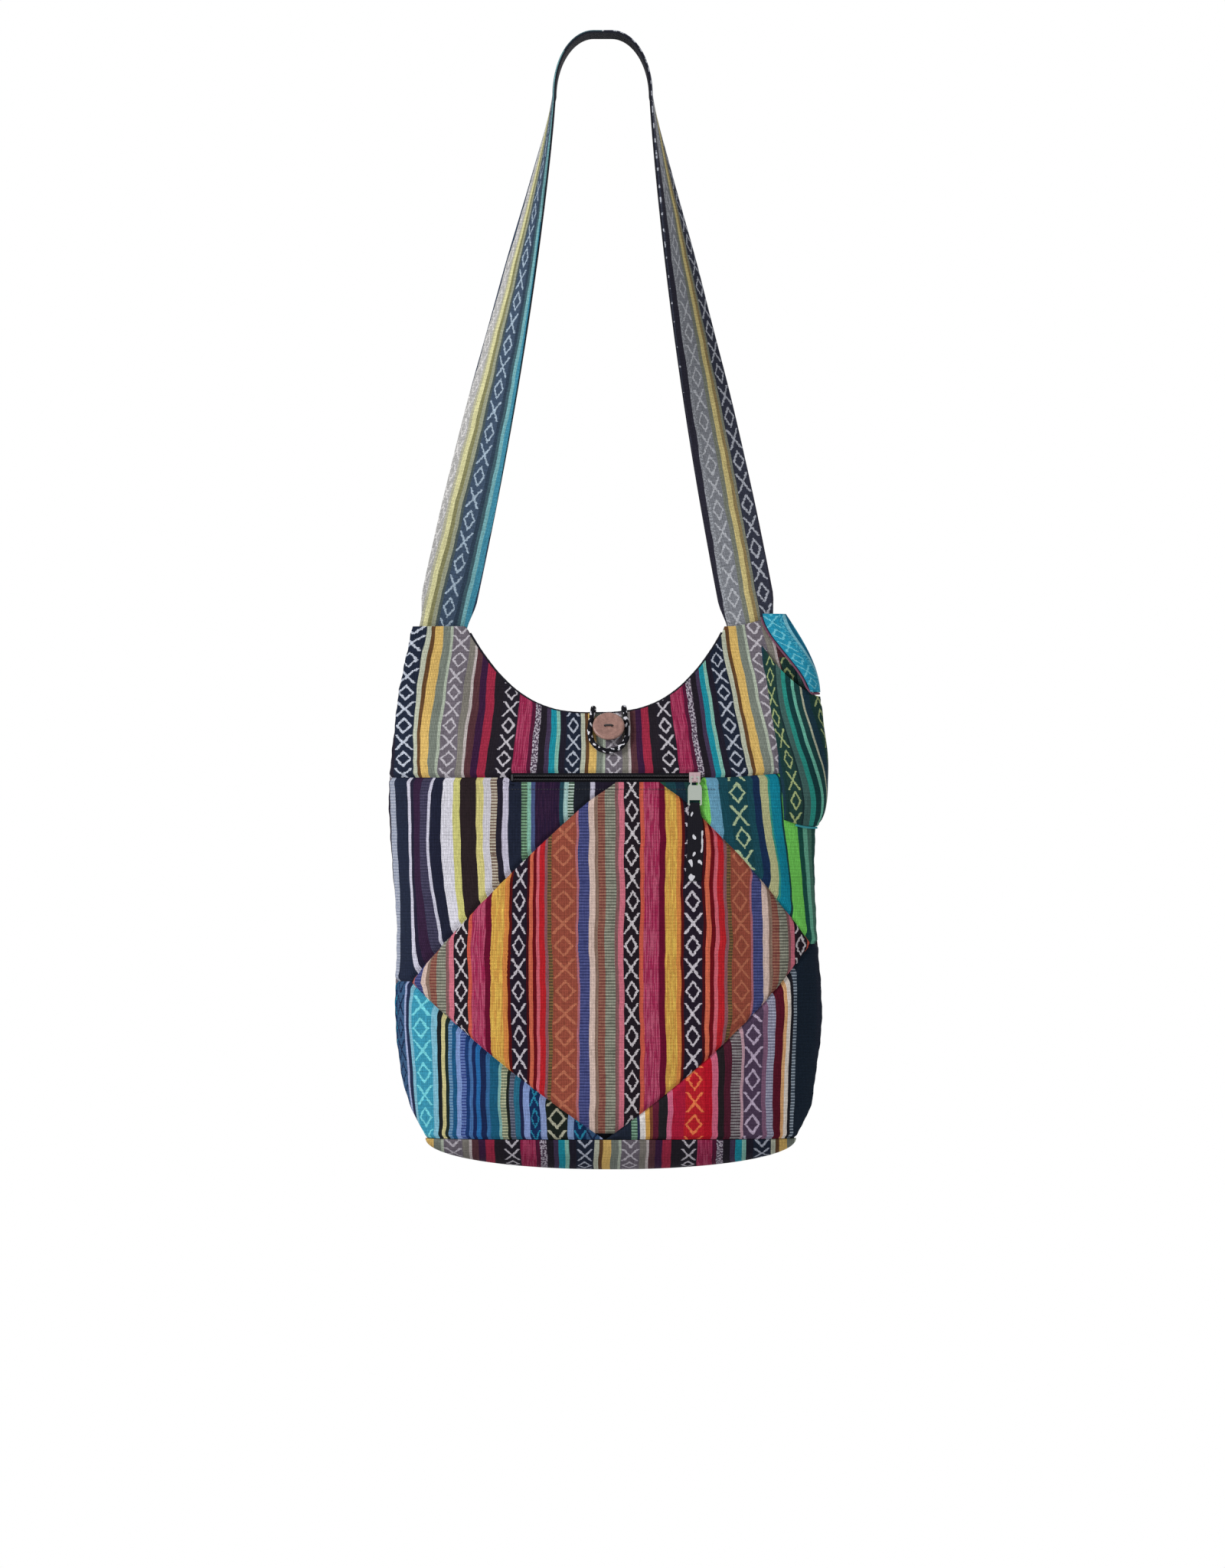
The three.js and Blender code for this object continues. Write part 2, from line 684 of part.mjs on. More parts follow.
const plateFront = -runGap - plateThickness;
const backPlateFront = tapeBack + runGap;
const archClear = pullerThickness + 2 * runGap;
const archOuter = plateFront - archClear - plateThickness;
const archHalf = sliderHeight / 2 - 0.6;
const archWidth = 2.4;
const webHalf = coilGap / 2 - 0.4;
const halfSlider = sliderLength / 2;
const sliderPlate = boxSolid(-halfSlider, halfSlider, plateFront, -runGap, -sliderHeight / 2, sliderHeight / 2);
const backPlate = boxSolid(
  -halfSlider, halfSlider, backPlateFront, backPlateFront + plateThickness - 0.4, -sliderHeight / 2, sliderHeight / 2,
);
const web = boxSolid(-halfSlider + 1, halfSlider - 1, -runGap - 0.3, backPlateFront + 0.3, -webHalf, webHalf);
const archBlock = boxSolid(
  -archWidth / 2, archWidth / 2, archOuter, plateFront + 0.3, -archHalf, archHalf,
);
const archSpace = boxSolid(
  -archWidth, archWidth, plateFront - archClear, plateFront + 0.001, -archHalf + plateThickness, archHalf - plateThickness,
);
const sliderMetal = new THREE.MeshStandardMaterial({ color: 0xb9bbbd, roughness: 0.35, metalness: 1 });
addMesh(
  "zip_slider",
  geometryOf(sliderPlate.add(backPlate).add(web).add(archBlock.subtract(archSpace))),
  sliderMetal,
  sliderFrame,
);

// The puller: a flat tag whose top bar turns under the arch, with a window for the arch's foot and a slot
// at its lower end for the cloth strip.
const pullerAxisY = plateFront - archClear / 2;
const pullerLean = zipTilt * 0.25;
const pullerFrame = new THREE.Group();
pullerFrame.position.set(0, pullerAxisY, 0);
pullerFrame.rotation.x = pullerLean;
sliderFrame.add(pullerFrame);

const topBar = pullerThickness / 2;
const windowHalf = archWidth / 2 + 1.6;
const windowLength = archHalf + plateThickness + 2.2;
const stripSlotHalf = pullerWidth / 2 - 1.4;
const stripSlotHeight = 2 * pullStripThickness;
const lowBar = 1.6;
const pullerEnd = -pullerLength + topBar;
const slotBottom = pullerEnd + lowBar;

function tagOutline() {
  const shape = new THREE.Shape();
  const half = pullerWidth / 2;
  const neck = windowHalf + 1.3;
  const shoulder = -windowLength + 1;
  shape.moveTo(-neck, topBar);
  shape.lineTo(neck, topBar);
  shape.lineTo(neck, shoulder);
  shape.quadraticCurveTo(half, shoulder - 1, half, shoulder - 5);
  shape.lineTo(half, pullerEnd + 1);
  shape.lineTo(half - 1, pullerEnd);
  shape.lineTo(1 - half, pullerEnd);
  shape.lineTo(-half, pullerEnd + 1);
  shape.lineTo(-half, shoulder - 5);
  shape.quadraticCurveTo(-half, shoulder - 1, -neck, shoulder);
  return shape;
}
const tag = new THREE.ExtrudeGeometry(tagOutline(), {
  depth: pullerThickness,
  bevelEnabled: false,
  curveSegments: 4,
});
tag.rotateX(Math.PI / 2);
tag.translate(0, pullerThickness / 2, 0);
const archWindow = boxSolid(-windowHalf, windowHalf, -pullerThickness, pullerThickness, -windowLength, -topBar);
const stripWindow = boxSolid(
  -stripSlotHalf, stripSlotHalf, -pullerThickness, pullerThickness, slotBottom, slotBottom + stripSlotHeight,
);
const tagSolid = solidOf(tag).subtract(archWindow).subtract(stripWindow);
addMesh("zip_puller", geometryOf(tagSolid), sliderMetal, pullerFrame);

// The pull strip: a folded strip of the bag's cloth that loops round the puller's low bar and hangs on the
// diamond patch below.
const stripLoopHalf = stripSlotHalf - 0.5;
const loopInner = lowBar / 2 + 0.35;
const loopOuter = loopInner + pullStripThickness * 0.6;
const barMiddle = pullerEnd + lowBar / 2;
function roundBar(radius, halfLength, sides) {
  const round = new THREE.CylinderGeometry(radius, radius, 2 * halfLength, sides);
  round.rotateZ(Math.PI / 2);
  round.translate(0, 0, barMiddle);
  return solidOf(round);
}
function stripLoop() {
  return roundBar(loopOuter, stripLoopHalf, 16).subtract(roundBar(loopInner, stripLoopHalf + 1, 16));
}
root.updateMatrixWorld(true);
const intoPuller = pullerFrame.matrixWorld.clone().invert().multiply(bag.matrixWorld);
function stripTail() {
  const steps = 10;
  const head = new THREE.Vector3(0, 0, barMiddle - loopInner - pullStripThickness * 0.3);
  head.applyMatrix4(intoPuller.clone().invert());
  const points = [];
  for (let k = 0; k <= steps; k += 1) {
    const h = head.z - (pullStripLength * k) / steps;
    const onWall = -(halfDepth(h) + layerGap + pullStripThickness / 2 + 0.2);
    const y = lerp(head.y, onWall, smoothstep(k / steps, 0, 0.4));
    points.push(new THREE.Vector3(head.x, Math.min(y, onWall), h));
  }
  const widthAt = (k) => lerp(2 * stripLoopHalf, pullStripWidth, smoothstep(k / steps, 0, 0.3));
  const tail = sweep(
    points,
    (k) => rectangle(widthAt(k), pullStripThickness),
    () => new THREE.Vector3(1, 0, 0),
    () => new THREE.Vector3(0, 1, 0),
  );
  return solidOf(tail.applyMatrix4(intoPuller));
}
addMesh("zip_pull_strip", geometryOf(stripLoop().add(stripTail())), cloth(0x1c1c22), pullerFrame);

// The zip pocket's backing: cloth sewn to the inside of the patches round its edge, slack in the middle

const backingThickness = 0.8;
const backingSlack = 2.8;
const backingMargin = 16;
const backingTop = yokeSeamHeight + tapeHeight + 9;
const backingBottom = 235;
function backingLayer(depth) {
  return grid(9, 14, (u, v) => {
    const h = lerp(backingBottom, backingTop, v);
    const share = lerp(shareAt(zipLeftX - backingMargin, h), shareAt(zipRightX + backingMargin, h), u);
    const slack = backingSlack * Math.min(1, 12 * u * (1 - u)) * Math.min(1, 14 * v * (1 - v));
    return wallPoint(share, h, clothThickness + 0.8 + slack + depth, -1);
  });
}
addMesh("zip_pocket_backing", wallBetween(backingLayer(0), backingLayer(backingThickness)), cloth(0x1b1d26));

// The coconut button stands off the yoke on its thread, so that the loop fits under its rim

const buttonSlope = (halfDepth(buttonHeight + 4) - halfDepth(buttonHeight - 4)) / 8;
const buttonFrame = new THREE.Group();
buttonFrame.position.set(buttonX, -halfDepth(buttonHeight), buttonHeight);
buttonFrame.rotation.x = Math.atan(buttonSlope);
bag.add(buttonFrame);
const standOff = loopDiameter + 1;

function buttonSolid() {
  const r = buttonDiameter / 2;
  const t = buttonThickness;
  const edge = [];
  for (let k = 0; k <= 4; k += 1) {
    const angle = Math.PI * (k / 4) - Math.PI / 2;
    edge.push(new THREE.Vector2(r - t / 2 + (t / 2) * Math.cos(angle), t / 2 + (t / 2) * Math.sin(angle)));
  }
  const dish = new THREE.Vector2(r * 0.55, t - 0.7);
  const profile = [new THREE.Vector2(0, 0), ...edge, dish, new THREE.Vector2(0, t - 0.9)];
  const disc = facingOut(mergeVertices(bare(new THREE.LatheGeometry(profile, 28)), 1e-3));
  disc.rotateX(Math.PI);
  disc.translate(0, -standOff, 0);
  const hole = (x) => {
    const drill = new THREE.CylinderGeometry(threadHoleDiameter / 2, threadHoleDiameter / 2, 4 * t, 10);
    drill.translate(x, -standOff - t / 2, 0);
    return solidOf(drill);
  };
  const half = threadHoleSpacing / 2;
  return solidOf(disc).subtract(hole(-half)).subtract(hole(half));
}
const shell = new THREE.MeshStandardMaterial({ color: 0x9a7468, roughness: 0.5, metalness: 0 });
addMesh("coconut_button", geometryOf(buttonSolid()), shell, buttonFrame);

// The thread goes up one hole, across the button's face and down the other.
function threadLine() {
  const half = threadHoleSpacing / 2;
  const face = -standOff - buttonThickness;
  const rise = threadDiameter / 2 + 0.25;
  return [
    [-half, -0.35],
    [-half, -standOff],
    [-half, face],
    [-half + 0.9, face + 0.9 - rise],
    [half - 0.9, face + 0.9 - rise],
    [half, face],
    [half, -standOff],
    [half, -0.35],
  ].map(([x, y]) => new THREE.Vector3(x, y, 0));
}
const threadPoints = threadLine();
const threadTangent = (k) => {
  const after = threadPoints[Math.min(k + 1, threadPoints.length - 1)];
  return after.clone().sub(threadPoints[Math.max(k - 1, 0)]).normalize();
};
const alongZ = new THREE.Vector3(0, 0, 1);
addMesh(
  "button_thread",
  sweep(threadPoints, () => polygon(threadDiameter / 2, 8), () => alongZ, (k) => alongZ.clone().cross(threadTangent(k))),
  cloth(0x1a1a1e),
  buttonFrame,
);

// The phone pocket wraps the right side seam. Its front panel stands off the wall and is open at the top.

// A point round the right side: turn is 90 at the flat front, 0 at the side seam and -90 at the flat back.
function sidePoint(turn, height, out) {
  const angle = THREE.MathUtils.degToRad(turn);
  const flat = flatShare(height);
  const share = flat + (1 - flat) * Math.pow(Math.max(Math.cos(angle), 0), 2 / sideRoundness);
  return wallPoint(share, height, -out, angle > 0 ? -1 : 1, 0);
}
function turnAt(x, height) {
  const flat = flatShare(height);
  const past = THREE.MathUtils.clamp((shareAt(x, height) - flat) / (1 - flat), 0, 1);
  return THREE.MathUtils.radToDeg(Math.acos(Math.pow(past, sideRoundness / 2)));
}
const pocketSeat = 0.6;
const pocketEdgeX = (h) => lerp(161, 141, smoothstep(h, pocketBottomHeight, pocketShoulderHeight));
const pocketTurn = (u, h) => lerp(turnAt(pocketEdgeX(h), h), -turnAt(pocketEdgeX(h) + 3, h), u);
const pocketTop = (u) =>
  pocketMouthHeight + (pocketShoulderHeight - pocketMouthHeight) * Math.pow(Math.abs(2 * Math.min(u, 0.96) - 1), 3);
const pocketFoot = (u) => pocketBottomHeight + 6 * Math.pow(2 * u - 1, 4);
function pocketStandOff(u, v) {
  const across = Math.pow(Math.sin(Math.PI * THREE.MathUtils.clamp(u, 0.0001, 0.9999)), 0.6);
  return pocketDepth * across * Math.pow(Math.sin((Math.PI / 2) * Math.min(1, v * 3.2)), 0.7);
}
function pocketLayer(depth) {
  return grid(10, 18, (u, v) => {
    const h = lerp(pocketFoot(u), pocketTop(u), v);
    return sidePoint(pocketTurn(u, h), h, pocketSeat + pocketStandOff(u, v) + depth);
  });
}
addMesh("phone_pocket_front", wallBetween(pocketLayer(pocketCloth), pocketLayer(0)), cloth(0x23403f));

const pocketBackCloth = 0.8;
function pocketBackLayer(depth) {
  return grid(12, 18, (u, v) => {
    const w = lerp(0.09, 0.91, u);
    const h = lerp(pocketFoot(w) + 7, pocketShoulderHeight - 10, v);
    return sidePoint(pocketTurn(w, h), h, pocketSeat + depth);
  });
}
addMesh("phone_pocket_back", wallBetween(pocketBackLayer(pocketBackCloth), pocketBackLayer(0)), cloth(0x17302c));

const pipingSize = 2;
const pocketPipingPoints = Array.from({ length: 15 }, (_, i) => {
  const u = lerp(0.1, 0.9, i / 14);
  const h = pocketFoot(u) - pipingSize / 2 - 0.3;
  return sidePoint(pocketTurn(u, h), h, pipingSize / 2 + layerGap);
});
roundTube("pocket_piping", pocketPipingPoints, pipingSize, cloth(0x2c8f9a));

// The flap hangs from the right tip and covers the pocket's mouth. In section it is a shallow bow round
// the side, small at the top and wide at the bottom.
const flapDrop = (h) => THREE.MathUtils.clamp((flapTopHeight - h) / (flapLength + 4), 0, 1);
const flapOuterX = (h) => 164 + 31 * Math.sin((Math.PI / 2) * flapDrop(h));
const flapEdgeX = (h) => lerp(186, 145, smoothstep(h, flapBottomHeight - 16, flapTopHeight - 14));
const flapHalf = (h) => halfDepth(h) + layerGap + 3 + 7 * smoothstep(flapTopHeight - 12 - h, 0, 55);
const flapBow = (75 * Math.PI) / 180;
function flapPoint(u, h, depth) {
  const angle = lerp(-flapBow, flapBow, u);
  const reach = flapOuterX(h) - flapEdgeX(h);
  const x = flapOuterX(h) - (reach * (1 - Math.cos(angle))) / (1 - Math.cos(flapBow)) - depth * Math.cos(angle);
  const y = (flapHalf(h) / Math.sin(flapBow) - depth) * Math.sin(angle);
  return new THREE.Vector3(x, y, h);
}
function flapLayer(depth) {
  return grid(9, 12, (u, v) => flapPoint(u, lerp(flapBottomHeight, flapTopHeight, v), depth));
}
const flapLiningDepth = flapCloth + 0.35;
addMesh("phone_pocket_flap", wallBetween(flapLayer(0), flapLayer(flapCloth)), cloth(0x2b9bb0));
addMesh("flap_lining", wallBetween(flapLayer(flapLiningDepth), flapLayer(flapLiningDepth + 0.8)), cloth(0x1d2340));

const pipingOut = pipingSize / 2 + 0.3;
function flapRim() {
  const points = [];
  const side = (u, h) => flapPoint(u, h, flapCloth).add(new THREE.Vector3(-1.25 * pipingOut, 0, 0));
  for (let k = 0; k <= 7; k += 1) points.push(side(0, lerp(flapTopHeight - 3, flapBottomHeight - pipingOut, k / 7)));
  for (let k = 1; k <= 9; k += 1) {
    points.push(flapPoint(k / 10, flapBottomHeight, flapCloth).add(new THREE.Vector3(0, 0, -pipingOut)));
  }
  for (let k = 7; k >= 0; k -= 1) points.push(side(1, lerp(flapTopHeight - 3, flapBottomHeight - pipingOut, k / 7)));
  return points;
}
roundTube("flap_piping", flapRim(), pipingSize, cloth(0x6a4a6a));

// The closure loop is a soft tube of cloth. Both its ends are sewn inside the back of the mouth; it comes
// over the neckline as two legs and lies round the button. Points are across, in depth and in height.
const loopRoute = [
  [19, 15.1, 403.6], [19, 11.5, 403.8], [19, 6.5, 405.6], [19, 0.5, 408.9], [19, -6, 411.7],
  [19, -11.5, 413.1], [19.1, -15.8, 412.9], [19.4, -19.3, 410.6], [19.9, -21.4, 406.4],
  [20.7, -23.3, 402.4], [21.6, -26.1, 398], [22, -29.7, 392.3], [21.4, -33.8, 385.6],
  [17.6, -36.6, 379.2], [11.8, -37.8, 375.5], [5.4, -37.9, 374.3], [-1, -37.8, 375.5],
  [-6.8, -36.6, 379.2], [-10.6, -33.8, 385.6], [-11.2, -29.7, 392.3], [-10.8, -26.1, 398],
  [-9.9, -23.3, 402.4], [-9.1, -21.4, 406.4], [-8.6, -19.3, 410], [-8.3, -15.8, 412.2],
  [-8.2, -11.5, 412.4], [-8.2, -6, 411], [-8.2, 0.5, 408.4], [-8.2, 6.5, 405.4],
  [-8.2, 11.5, 403.8], [-8.2, 15.1, 403.6],
];
const loopLine = new THREE.CatmullRomCurve3(loopRoute.map((point) => new THREE.Vector3(...point)));
const loopSection = new THREE.Shape(polygon(loopDiameter / 2, 8).map((point) => new THREE.Vector2(...point)));
const loopTube = new THREE.ExtrudeGeometry(loopSection, { steps: 40, extrudePath: loopLine });
addMesh("closure_loop", facingOut(mergeVertices(bare(loopTube), 1e-3)), cloth(0x1c1c22));

export default root;
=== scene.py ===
"""Looks of a patchwork shoulder bag of striped handwoven cotton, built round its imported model.

Lengths in this script are millimetres unless a name says otherwise. Heights are measured from the bag's
lowest point, and in_frame turns such points into the frame's metres.
"""

import bmesh
import bpy
import numpy as np
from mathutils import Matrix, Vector


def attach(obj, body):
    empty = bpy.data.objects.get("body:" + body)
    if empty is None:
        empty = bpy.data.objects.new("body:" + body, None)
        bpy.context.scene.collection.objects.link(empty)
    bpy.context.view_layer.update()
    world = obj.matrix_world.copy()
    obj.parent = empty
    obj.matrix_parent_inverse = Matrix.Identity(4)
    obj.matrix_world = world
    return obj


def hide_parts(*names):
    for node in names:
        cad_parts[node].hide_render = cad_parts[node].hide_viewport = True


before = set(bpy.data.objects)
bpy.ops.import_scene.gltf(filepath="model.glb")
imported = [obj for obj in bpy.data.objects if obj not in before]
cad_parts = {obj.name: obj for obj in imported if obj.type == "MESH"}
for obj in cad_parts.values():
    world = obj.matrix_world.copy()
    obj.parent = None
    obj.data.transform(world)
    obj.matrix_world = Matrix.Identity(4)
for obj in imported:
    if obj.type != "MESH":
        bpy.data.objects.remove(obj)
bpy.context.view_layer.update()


# Camera. The bag is seen straight from the front, from far away with a long lens, as in a catalogue picture.
# One pixel of the picture is 0.68 mm at the bag, and the picture is taller than the bag with its strap.
picture_width, picture_height = 1600, 2048
mm_per_pixel = 0.68
hang_height = 1014.0
middle_pixel_x, lowest_pixel_y = 787, 1531
camera_distance, front_y = 6.0, -0.045
sensor = 36.0

camera_data = bpy.data.cameras.new("camera")
camera = bpy.data.objects.new("camera", camera_data)
bpy.context.scene.collection.objects.link(camera)
bpy.context.scene.camera = camera
camera_x = (picture_width / 2 - middle_pixel_x) * mm_per_pixel / 1000
camera_z = ((lowest_pixel_y - picture_height / 2) * mm_per_pixel - hang_height) / 1000
camera.location = (camera_x, front_y - camera_distance, camera_z)
camera.rotation_euler = (np.pi / 2, 0, 0)
camera_data.sensor_width = sensor
camera_data.lens = sensor * camera_distance / (picture_height * mm_per_pixel / 1000)
camera_data.clip_start = 0.1
camera_data.clip_end = 60


# Closure loop. A soft tube of black cloth with white flecks, both ends sewn inside the back of the mouth. It
# comes over the neckline as two legs and lies round the button. It is a cord of 5 mm.
loop_diameter = 5.0
button_x, button_height = 5.4, 392.0
loop_route = np.array([
    [19, 15.1, 403.6], [19, 11.5, 403.8], [19, 6.5, 405.6], [19, 0.5, 408.9], [19, -6, 411.7],
    [19, -11.5, 413.1], [19.1, -15.8, 412.9], [19.4, -19.3, 410.6], [19.9, -21.4, 406.4],
    [20.7, -23.3, 402.4], [21.6, -26.1, 398], [22, -29.7, 392.3], [21.4, -33.8, 385.6],
    [17.6, -36.6, 379.2], [11.8, -37.8, 375.5], [5.4, -37.9, 374.3], [-1, -37.8, 375.5],
    [-6.8, -36.6, 379.2], [-10.6, -33.8, 385.6], [-11.2, -29.7, 392.3], [-10.8, -26.1, 398],
    [-9.9, -23.3, 402.4], [-9.1, -21.4, 406.4], [-8.6, -19.3, 410], [-8.3, -15.8, 412.2],
    [-8.2, -11.5, 412.4], [-8.2, -6, 411], [-8.2, 0.5, 408.4], [-8.2, 6.5, 405.4],
    [-8.2, 11.5, 403.8], [-8.2, 15.1, 403.6],
])


def in_frame(points):
    """Millimetres above the bag's lowest point become metres below the strap's crown."""
    return (np.asarray(points, float) - [0, 0, hang_height]) / 1000


def smooth_line(points, steps):
    """A line through all points: between two of them a cubic whose slopes are half the neighbours' distance."""
    points = np.asarray(points, float)
    before = np.vstack([2 * points[0] - points[1], points[:-1]])
    after = np.vstack([points[1:], 2 * points[-1] - points[-2]])
    slopes = (after - before) / 2
    place = np.linspace(0, len(points) - 1, steps)
    i = np.minimum(place.astype(int), len(points) - 2)
    t = (place - i)[:, None]
    return ((2 * t**3 - 3 * t**2 + 1) * points[i] + (t**3 - 2 * t**2 + t) * slopes[i]
            + (3 * t**2 - 2 * t**3) * points[i + 1] + (t**3 - t**2) * slopes[i + 1])


def run_along(points):
    """The length walked up to each point of a line, or of each row of a grid."""
    steps = np.linalg.norm(np.diff(points, axis=-2), axis=-1)
    return np.concatenate([np.zeros((*steps.shape[:-1], 1)), np.cumsum(steps, axis=-1)], -1)


def tangents(points):
    """Unit directions of a line, from each point's neighbours."""
    step = np.gradient(np.asarray(points, float), axis=0)
    return step / np.linalg.norm(step, axis=1, keepdims=True)


def mesh_piece(name, points, faces, weave=None, smooth_to=55):
    """Puts points in millimetres and faces into a mesh object, with a weave map in metres for each point.
    Edges up to smooth_to degrees are smooth, or none at None."""
    mesh = bpy.data.meshes.new(name)
    mesh.from_pydata(in_frame(points).tolist(), [], faces if isinstance(faces, list) else faces.tolist())
    if weave is not None:
        layer = mesh.uv_layers.new(name="weave")
        corners = np.empty(len(mesh.loops), np.int32)
        mesh.loops.foreach_get("vertex_index", corners)
        layer.data.foreach_set("uv", (np.asarray(weave) / 1000)[corners].ravel())
    mesh.validate()
    if smooth_to is not None:
        mesh.polygons.foreach_set("use_smooth", np.ones(len(mesh.polygons), bool))
        mesh.set_sharp_from_angle(angle=np.radians(smooth_to))
    piece = bpy.data.objects.new(name, mesh)
    bpy.context.scene.collection.objects.link(piece)
    return piece


def face_out(piece):
    """Turns all faces of a closed piece outwards."""
    work = bmesh.new()
    work.from_mesh(piece.data)
    bmesh.ops.recalc_face_normals(work, faces=work.faces)
    work.to_mesh(piece.data)
    work.free()


def tube(name, line, radius, toward, sides=12, flatten=1.0):
    """A round section carried along a line, with flat ends. toward is any direction off the line: the section's
    first axis is the line's direction crossed with it, and flatten squeezes its second axis."""
    along = tangents(line)
    first = np.cross(along, toward)
    first /= np.linalg.norm(first, axis=1, keepdims=True)
    second = np.cross(along, first)
    turn = np.linspace(0, 2 * np.pi, sides, endpoint=False)
    radius = np.broadcast_to(radius, len(line))[:, None, None]
    rings = line[:, None] + radius * (np.cos(turn)[None, :, None] * first[:, None]
                                      + flatten * np.sin(turn)[None, :, None] * second[:, None])
    count = len(line)
    k = np.arange(count - 1)[:, None] * sides
    i = np.arange(sides)[None]
    n = (i + 1) % sides
    faces = np.stack([k + i, k + n, k + sides + n, k + sides + i], -1).reshape(-1, 4)
    run = run_along(line)
    weave = np.stack(np.broadcast_arrays(turn[None] * float(radius.mean()), run[:, None]), -1).reshape(-1, 2)
    last = (count - 1) * sides
    caps = [[count * sides, (j + 1) % sides, j] for j in range(sides)]
    caps += [[count * sides + 1, last + j, last + (j + 1) % sides] for j in range(sides)]
    points = np.vstack([rings.reshape(-1, 3), line[:1], line[-1:]])
    weave = np.vstack([weave, [0, 0], [0, run[-1]]])
    piece = mesh_piece(name, points, faces.tolist() + caps, weave, smooth_to=60)
    face_out(piece)
    return piece


def yarn(code):
    """A yarn's colour, from a hex code as seen, in the linear values that the shader takes."""
    seen = np.array([int(code[i:i + 2], 16) for i in (0, 2, 4)]) / 255
    linear = np.where(seen <= 0.04045, seen / 12.92, ((seen + 0.055) / 1.055) ** 2.4)
    return (*linear, 1.0)


class Shader:
    """A material's nodes, written as sums of sockets and numbers."""

    def __init__(self, name, **settings):
        self.material = bpy.data.materials.new(name)
        self.material.use_nodes = True
        self.tree = self.material.node_tree
        self.tree.nodes.clear()
        self.surface = self.node("ShaderNodeBsdfPrincipled")
        out = self.node("ShaderNodeOutputMaterial")
        self.tree.links.new(self.surface.outputs[0], out.inputs[0])
        for socket, value in settings.items():
            self.surface.inputs[socket.replace("_", " ")].default_value = value

    def node(self, kind, **values):
        """A new node with some of its own settings."""
        made = self.tree.nodes.new(kind)
        for key, value in values.items():
            setattr(made, key, value)
        return made

    def feed(self, socket, value):
        """Links a socket to another, or sets its number or colour."""
        if isinstance(value, bpy.types.NodeSocket):
            self.tree.links.new(value, socket)
        else:
            socket.default_value = value

    def math(self, operation, *values):
        """One Math node on sockets and numbers."""
        made = self.node("ShaderNodeMath", operation=operation)
        for socket, value in zip(made.inputs, values):
            self.feed(socket, value)
        return made.outputs[0]

    def weave_mm(self):
        """The weave map's across and along, in millimetres."""
        split = self.node("ShaderNodeSeparateXYZ")
        self.tree.links.new(self.node("ShaderNodeUVMap", uv_map="weave").outputs[0], split.inputs[0])
        return self.math("MULTIPLY", split.outputs[0], 1000.0), self.math("MULTIPLY", split.outputs[1], 1000.0)

    def noise(self, across, along, across_mm, along_mm, detail=2.0):
        """Cloudy noise whose grains measure across_mm by along_mm."""
        place = self.node("ShaderNodeCombineXYZ")
        self.feed(place.inputs[0], self.math("DIVIDE", across, across_mm))
        self.feed(place.inputs[1], self.math("DIVIDE", along, along_mm))
        made = self.node("ShaderNodeTexNoise")
        made.inputs["Scale"].default_value = 1.0
        made.inputs["Detail"].default_value = detail
        self.tree.links.new(place.outputs[0], made.inputs["Vector"])
        return made.outputs["Fac"]

    def mix(self, factor, a, b, blend_type="MIX"):
        """Goes from colour a to colour b by a factor."""
        made = self.node("ShaderNodeMix", data_type="RGBA", blend_type=blend_type)
        self.feed(made.inputs[0], factor)
        self.feed(made.inputs[6], a)
        self.feed(made.inputs[7], b)
        return made.outputs[2]

    def shade(self, colour, low, high, factor):
        """Multiplies a colour by a grey between low and high."""
        ramp = self.node("ShaderNodeMapRange")
        self.feed(ramp.inputs[0], factor)
        ramp.inputs[3].default_value = low
        ramp.inputs[4].default_value = high
        return self.mix(1.0, colour, ramp.outputs[0], "MULTIPLY")

    def bump(self, height, depth_mm, strength=1.0):
        """Raises the surface's normal by a height from 0 to 1, times a depth."""
        made = self.node("ShaderNodeBump")
        made.inputs["Strength"].default_value = strength
        made.inputs["Distance"].default_value = depth_mm / 1000
        self.feed(made.inputs["Height"], height)
        self.tree.links.new(made.outputs[0], self.surface.inputs["Normal"])

    def ribs(self, value, pitch):
        """Rounded ridges of that pitch: the absolute sine of the place."""
        return self.math("ABSOLUTE", self.math("SINE", self.math("MULTIPLY", value, np.pi / pitch)))


def flecked_cloth(name, ground, fleck, fleck_share=0.41, fleck_run=4.0, fleck_width=2.6):
    """Dark cloth with pale weft flecks: a colour noise cut at a level, over fine ribs."""
    shader = Shader(name, Roughness=0.95, Specular_IOR_Level=0.06)
    across, along = shader.weave_mm()
    flecks = shader.math("LESS_THAN", shader.noise(across, along, fleck_width, fleck_run, 0.0), fleck_share)
    colour = shader.mix(flecks, yarn(ground), yarn(fleck))
    colour = shader.shade(colour, 0.75, 1.15, shader.noise(across, along, 0.6, 2.4))
    shader.feed(shader.surface.inputs["Base Color"], colour)
    height = shader.math("ADD", shader.ribs(across, 1.1), shader.ribs(along, 1.3))
    shader.bump(height, 0.25, 0.7)
    return shader.material


loop_line = smooth_line(loop_route, 170)
run = np.linspace(0, 1, len(loop_line))
loop_radius = loop_diameter / 2 * (0.96 + 0.035 * np.sin(run * 130) + 0.02 * np.sin(run * 53 + 1))
closure_loop = tube("loop_cord", loop_line, loop_radius, (0, -0.834, 0.552), sides=14, flatten=0.92)
closure_loop.data.materials.append(flecked_cloth("loop_cloth", "17171c", "cfcfd6"))
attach(closure_loop, "bag")
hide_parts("closure_loop")
in_frame(loop_line[0])
in_frame(loop_line)


